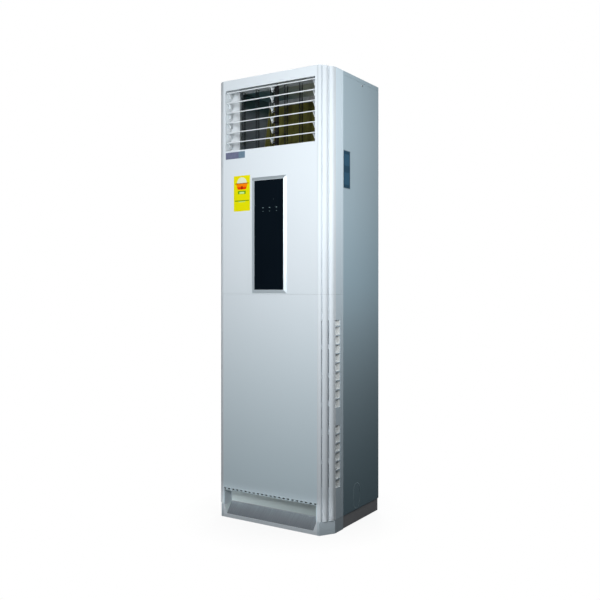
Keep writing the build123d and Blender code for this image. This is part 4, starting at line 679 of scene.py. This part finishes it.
def coil_axes():
    """Foot of the coil's block, its upward and thickness directions, its length and its thickness."""
    near = 0.01 * MM
    points = [v.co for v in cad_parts["evaporator_fins"].data.vertices]
    low_y, low_z = min(p.y for p in points), min(p.z for p in points)
    high_z = max(p.z for p in points)
    front_foot = next(p for p in points if p.y < low_y + near)
    back_foot = next(p for p in points if p.z < low_z + near)
    front_head = next(p for p in points if p.z > high_z - near)
    across = Vector((0, back_foot.y - front_foot.y, back_foot.z - front_foot.z))
    up = Vector((0, front_head.y - front_foot.y, front_head.z - front_foot.z))
    foot = Vector((0, (front_foot.y + back_foot.y) / 2, (front_foot.z + back_foot.z) / 2))
    return foot, up.normalized(), across.normalized(), up.length, across.length


# ---------------------------------------------------------------- operators
class Piece:
    bl_options = {"REGISTER", "UNDO"}


class CABINET_OT_front(Piece, bpy.types.Operator):
    """Gloss white plastic on the front panels and the toe recess, grey on the base band"""
    bl_idname = "cabinet.front"
    bl_label = "Front panels"

    def execute(self, context):
        given = settings()
        cover_with(panel_plastic("white_plastic", given.white), "upper_front_panel", "lower_front_panel")
        cover_with(recess_plastic("recess_plastic", given.white), "toe_kick")
        cover_with(plastic("base_plastic", given.base, 0.5, 320.0, dust=0.15), "base_plinth")
        return {"FINISHED"}


class CABINET_OT_sheets(Piece, bpy.types.Operator):
    """Powder coat on the outer sheets, zinc on the inner ones"""
    bl_idname = "cabinet.sheets"
    bl_label = "Sheet metal"

    def execute(self, context):
        paint = paint_coat("cabinet_paint", settings().steel, 0.42)
        cover_with(paint, "left_side_panel", "right_side_panel", "top_cover", "rear_panel")
        cover_with(
            zinc("zinc_sheet"), "base_tray", "partition_plate", "motor_bracket",
            "control_box", "control_box_cover", "coil_end_plates", "coil_baffle",
        )
        screws = metal("screw_plating", (0.52, 0.53, 0.55), 0.35, (1.0, 1.0, 1.0))
        cover_with(screws, "cabinet_screws")
        return {"FINISHED"}


class CABINET_OT_outlet(Piece, bpy.types.Operator):
    """White louvre blades and frame, black strut, smoked vanes"""
    bl_idname = "cabinet.outlet"
    bl_label = "Air outlet"

    def execute(self, context):
        given = settings()
        cover_with(chamber_plastic("chamber_plastic", given.louvre), "outlet_frame")
        white = plastic("louvre_plastic", given.louvre, 0.38, 300.0)
        cover_with(white, "louvre_link", *numbered("louvre_blade", 6))
        black = plastic("black_plastic", (0.02, 0.021, 0.024), 0.5, 300.0)
        cover_with(black, "louvre_strut", "vane_link")
        cover_with(vane_face("vane_plastic"), *numbered("swing_vane", 6))
        cover_with(plastic("motor_case", (0.10, 0.105, 0.115), 0.45, 200.0), "swing_motor")
        return {"FINISHED"}


class CABINET_OT_display(Piece, bpy.types.Operator):
    """Silver frame, dark cover and circuit board of the display"""
    bl_idname = "cabinet.display"
    bl_label = "Display"

    def execute(self, context):
        cover_with(silver_trim("silver_trim", settings().silver), "display_frame")
        cover_with(display_cover("display_cover", settings().glass), "display_glass")
        cover_with(circuit("circuit_board"), "display_board", "control_board")
        return {"FINISHED"}


class CABINET_OT_labels(Piece, bpy.types.Operator):
    """Bare badge and plain stickers"""
    bl_idname = "cabinet.labels"
    bl_label = "Badge and stickers"

    def execute(self, context):
        given = settings()
        cover_with(badge("badge_film", given.badge_left, given.badge_right), "badge_plate")
        cover_with(front_sticker("front_sticker_film", given.yellow), "front_sticker")
        cover_with(side_sticker("side_sticker_film", given.blue), "side_sticker")
        return {"FINISHED"}


class CABINET_OT_duct(Piece, bpy.types.Operator):
    """Foam of the air duct and the drain pan"""
    bl_idname = "cabinet.duct"
    bl_label = "Duct foam"

    def execute(self, context):
        walls = duct_foam("grey_foam", settings().foam)
        cover_with(
            walls, "left_duct_wall", "right_duct_wall", "front_duct_wall", "rear_insulation", "drain_pan"
        )
        cover_with(ceiling_foam("ceiling_foam", settings().foam), "top_insulation")
        return {"FINISHED"}


class CABINET_OT_inside(Piece, bpy.types.Operator):
    """Pipes, blower, filters and electrical parts"""
    bl_idname = "cabinet.inside"
    bl_label = "Inside"

    def execute(self, context):
        tube = metal("copper_tube", settings().copper, 0.3, (1.0, 1.0, 0.1))
        cover_with(tube, "return_bends", "gas_pipe", "liquid_pipe")
        cover_with(ribbed("drain_hose_wall", (0.62, 0.63, 0.64), 160.0, "Z", 1.0), "drain_hose")
        blower = plastic("blower_plastic", (0.16, 0.165, 0.175), 0.55, 180.0)
        cover_with(blower, "blower_housing", "inlet_ring", "fan_wheel")
        cover_with(metal("shaft_steel", (0.56, 0.56, 0.57), 0.25, (1.0, 0.05, 1.0)), "fan_shaft")
        cover_with(plastic("motor_enamel", (0.05, 0.055, 0.06), 0.4, 150.0), "fan_motor")
        net = ribbed("filter_net", (0.05, 0.055, 0.06), 500.0, "Z", 0.3)
        cover_with(net, "left_filter", "right_filter")
        case = plastic("component_case", (0.03, 0.03, 0.033), 0.45, 200.0)
        cover_with(case, "terminal_block", "run_capacitor")
        return {"FINISHED"}


class CABINET_OT_fins(Piece, bpy.types.Operator):
    """Thin rippled fins in place of the coil's plain block"""
    bl_idname = "cabinet.fins"
    bl_label = "Coil fins"

    def execute(self, context):
        given = settings()
        foot, up, across, tall, thick = coil_axes()
        low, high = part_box("evaporator_fins")
        count = int((high.x - low.x) / given.fin_pitch)
        ripples = 8

        def fins(bm):
            for index in range(count):
                x = low.x + (index + 0.5) * given.fin_pitch
                rings = []
                for step in range(ripples + 1):
                    bend = given.wave * (0.5 if step % 2 else -0.5)
                    left, right = (
                        Vector((x + bend + side * given.fin_sheet / 2, 0, 0)) for side in (-1, 1)
                    )
                    bottom = foot + across * (thick * (step / ripples - 0.5))
                    top = bottom + up * tall
                    rings.append([bottom + left, bottom + right, top + right, top + left])
                add_loft(bm, rings)

        pack = object_from("coil_fins", fins)
        pack.data.materials.append(fin_coating("fin_coating", given.fins))
        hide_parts("evaporator_fins")
        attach(pack, "cabinet")
        return {"FINISHED"}


class CABINET_OT_studio(Piece, bpy.types.Operator):
    """Pale floor, soft lamps, white background and the camera"""
    bl_idname = "cabinet.studio"
    bl_label = "Studio"

    def execute(self, context):
        self.make_floor()
        self.make_world()
        given = settings()
        self.make_lamp("front_lamp", (0.3, -1.8, 1.5), (0.0, -0.2, 1.5), (0.8, 1.0), given.front)
        self.make_lamp("side_lamp", (1.2, -0.4, 1.6), (0.27, -0.1, 1.5), (0.4, 1.0), given.side)
        self.make_lamp("top_lamp", (-0.4, 0.7, 2.9), (0.0, 0.0, 1.75), (0.8, 0.8), given.top)
        self.make_lamp("back_lamp", (-1.0, 2.0, 1.4), (0.0, 0.2, 1.0), (0.8, 1.2), given.back)
        strip = self.make_lamp("low_strip", (0.0, -0.55, 0.07), (0.0, -0.2, 0.075), (0.6, 0.02), given.low)
        strip.data.spread = math.radians(24)
        strip.visible_camera = False
        self.make_camera()
        return {"FINISHED"}

    def make_floor(self):
        """A floor that looks white to the camera, and throws little light back up."""
        half = 40.0

        def plane(bm):
            bmesh.ops.create_grid(bm, x_segments=2, y_segments=2, size=half)

        floor = object_from("studio_floor", plane)
        floor.location.z = -0.2 * MM
        made = Finish("studio_floor", (0.86, 0.87, 0.88), 0.6)
        seen = made.add("ShaderNodeLightPath").outputs["Is Camera Ray"]
        pale = made.mix(made.noise(1.5), (0.87, 0.88, 0.89), (0.90, 0.91, 0.92))
        made.paint(made.mix(seen, (0.06, 0.064, 0.068), pale))
        made.rough(made.noise(30.0), 0.55, 0.65)
        distance = made.root_of_squares(made.axis("X"), made.axis("Y"))
        far = made.span(distance, 0.25, 0.5, 0.9, 1.0)
        glow = made.add("ShaderNodeEmission")
        blend = made.add("ShaderNodeMixShader")
        made.feed(blend.inputs[0], made.all_of(far, seen))
        made.feed(blend.inputs[1], made.shader.outputs[0])
        made.feed(blend.inputs[2], glow.outputs[0])
        output = next(n for n in made.tree.nodes if n.type == "OUTPUT_MATERIAL")
        made.feed(output.inputs["Surface"], blend.outputs[0])
        floor.data.materials.append(made.material)
        floor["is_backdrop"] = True

    def make_world(self):
        """A white backdrop for the camera, and a faint room for everything else."""
        world = bpy.data.worlds.new("studio")
        bpy.context.scene.world = world
        world.use_nodes = True
        tree = world.node_tree
        room = next(n for n in tree.nodes if n.type == "BACKGROUND")
        room.inputs["Color"].default_value = (0.70, 0.88, 1.0, 1.0)
        room.inputs["Strength"].default_value = settings().fill
        backdrop = tree.nodes.new("ShaderNodeBackground")
        backdrop.inputs["Color"].default_value = (1.0, 1.0, 1.0, 1.0)
        path = tree.nodes.new("ShaderNodeLightPath")
        blend = tree.nodes.new("ShaderNodeMixShader")
        output = next(n for n in tree.nodes if n.type == "OUTPUT_WORLD")
        tree.links.new(path.outputs["Is Camera Ray"], blend.inputs[0])
        tree.links.new(room.outputs[0], blend.inputs[1])
        tree.links.new(backdrop.outputs[0], blend.inputs[2])
        tree.links.new(blend.outputs[0], output.inputs["Surface"])

    def make_lamp(self, name, place, target, size, watts):
        data = bpy.data.lights.new(name, "AREA")
        data.shape = "RECTANGLE"
        data.size, data.size_y = size
        data.energy = watts
        lamp = bpy.data.objects.new(name, data)
        bpy.context.scene.collection.objects.link(lamp)
        lamp.location = place
        lamp.rotation_euler = (Vector(target) - Vector(place)).to_track_quat("-Z", "Y").to_euler()
        lamp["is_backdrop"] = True
        return lamp

    def make_camera(self):
        data = bpy.data.cameras.new("camera")
        data.lens = 44.69
        data.shift_x, data.shift_y = -0.05, -0.0228
        camera = bpy.data.objects.new("camera", data)
        bpy.context.scene.collection.objects.link(camera)
        camera.location = (1.735, -2.5808, 0.942)
        camera.rotation_euler = (math.radians(90), 0.0, math.radians(31.4))
        bpy.context.scene.camera = camera
        bpy.context.scene.view_settings.view_transform = "Standard"


class CABINET_PT_panel(bpy.types.Panel):
    """Sizes, colours and build buttons in the sidebar"""
    bl_idname = "CABINET_PT_panel"
    bl_label = "Cabinet unit"
    bl_space_type = "VIEW_3D"
    bl_region_type = "UI"
    bl_category = "Cabinet unit"

    def draw(self, context):
        for name in CabinetSettings.__annotations__:
            self.layout.prop(context.scene.cabinet_settings, name)
        for operator in OPERATORS:
            self.layout.operator(operator.bl_idname)


OPERATORS = (
    CABINET_OT_front,
    CABINET_OT_sheets,
    CABINET_OT_outlet,
    CABINET_OT_display,
    CABINET_OT_labels,
    CABINET_OT_duct,
    CABINET_OT_inside,
    CABINET_OT_fins,
    CABINET_OT_studio,
)
CLASSES = (CabinetSettings, *OPERATORS, CABINET_PT_panel)


def register():
    for cls in CLASSES:
        bpy.utils.register_class(cls)
    bpy.types.Scene.cabinet_settings = PointerProperty(type=CabinetSettings)


def unregister():
    del bpy.types.Scene.cabinet_settings
    for cls in reversed(CLASSES):
        bpy.utils.unregister_class(cls)


def plain(value):
    """Vectors and tuples as plain lists."""
    if isinstance(value, dict):
        return {key: plain(part) for key, part in value.items()}
    if isinstance(value, (list, tuple, Vector)):
        return [plain(part) for part in value]
    return value


def main():
    register()
    before = plain(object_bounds())
    bpy.ops.cabinet.front()
    bpy.ops.cabinet.sheets()
    bpy.ops.cabinet.outlet()
    bpy.ops.cabinet.display()
    bpy.ops.cabinet.labels()
    bpy.ops.cabinet.duct()
    bpy.ops.cabinet.inside()
    bpy.ops.cabinet.fins()
    bpy.ops.cabinet.studio()
    {"cad": before, "visual": plain(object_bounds())}


if __name__ == "__main__":
    main()
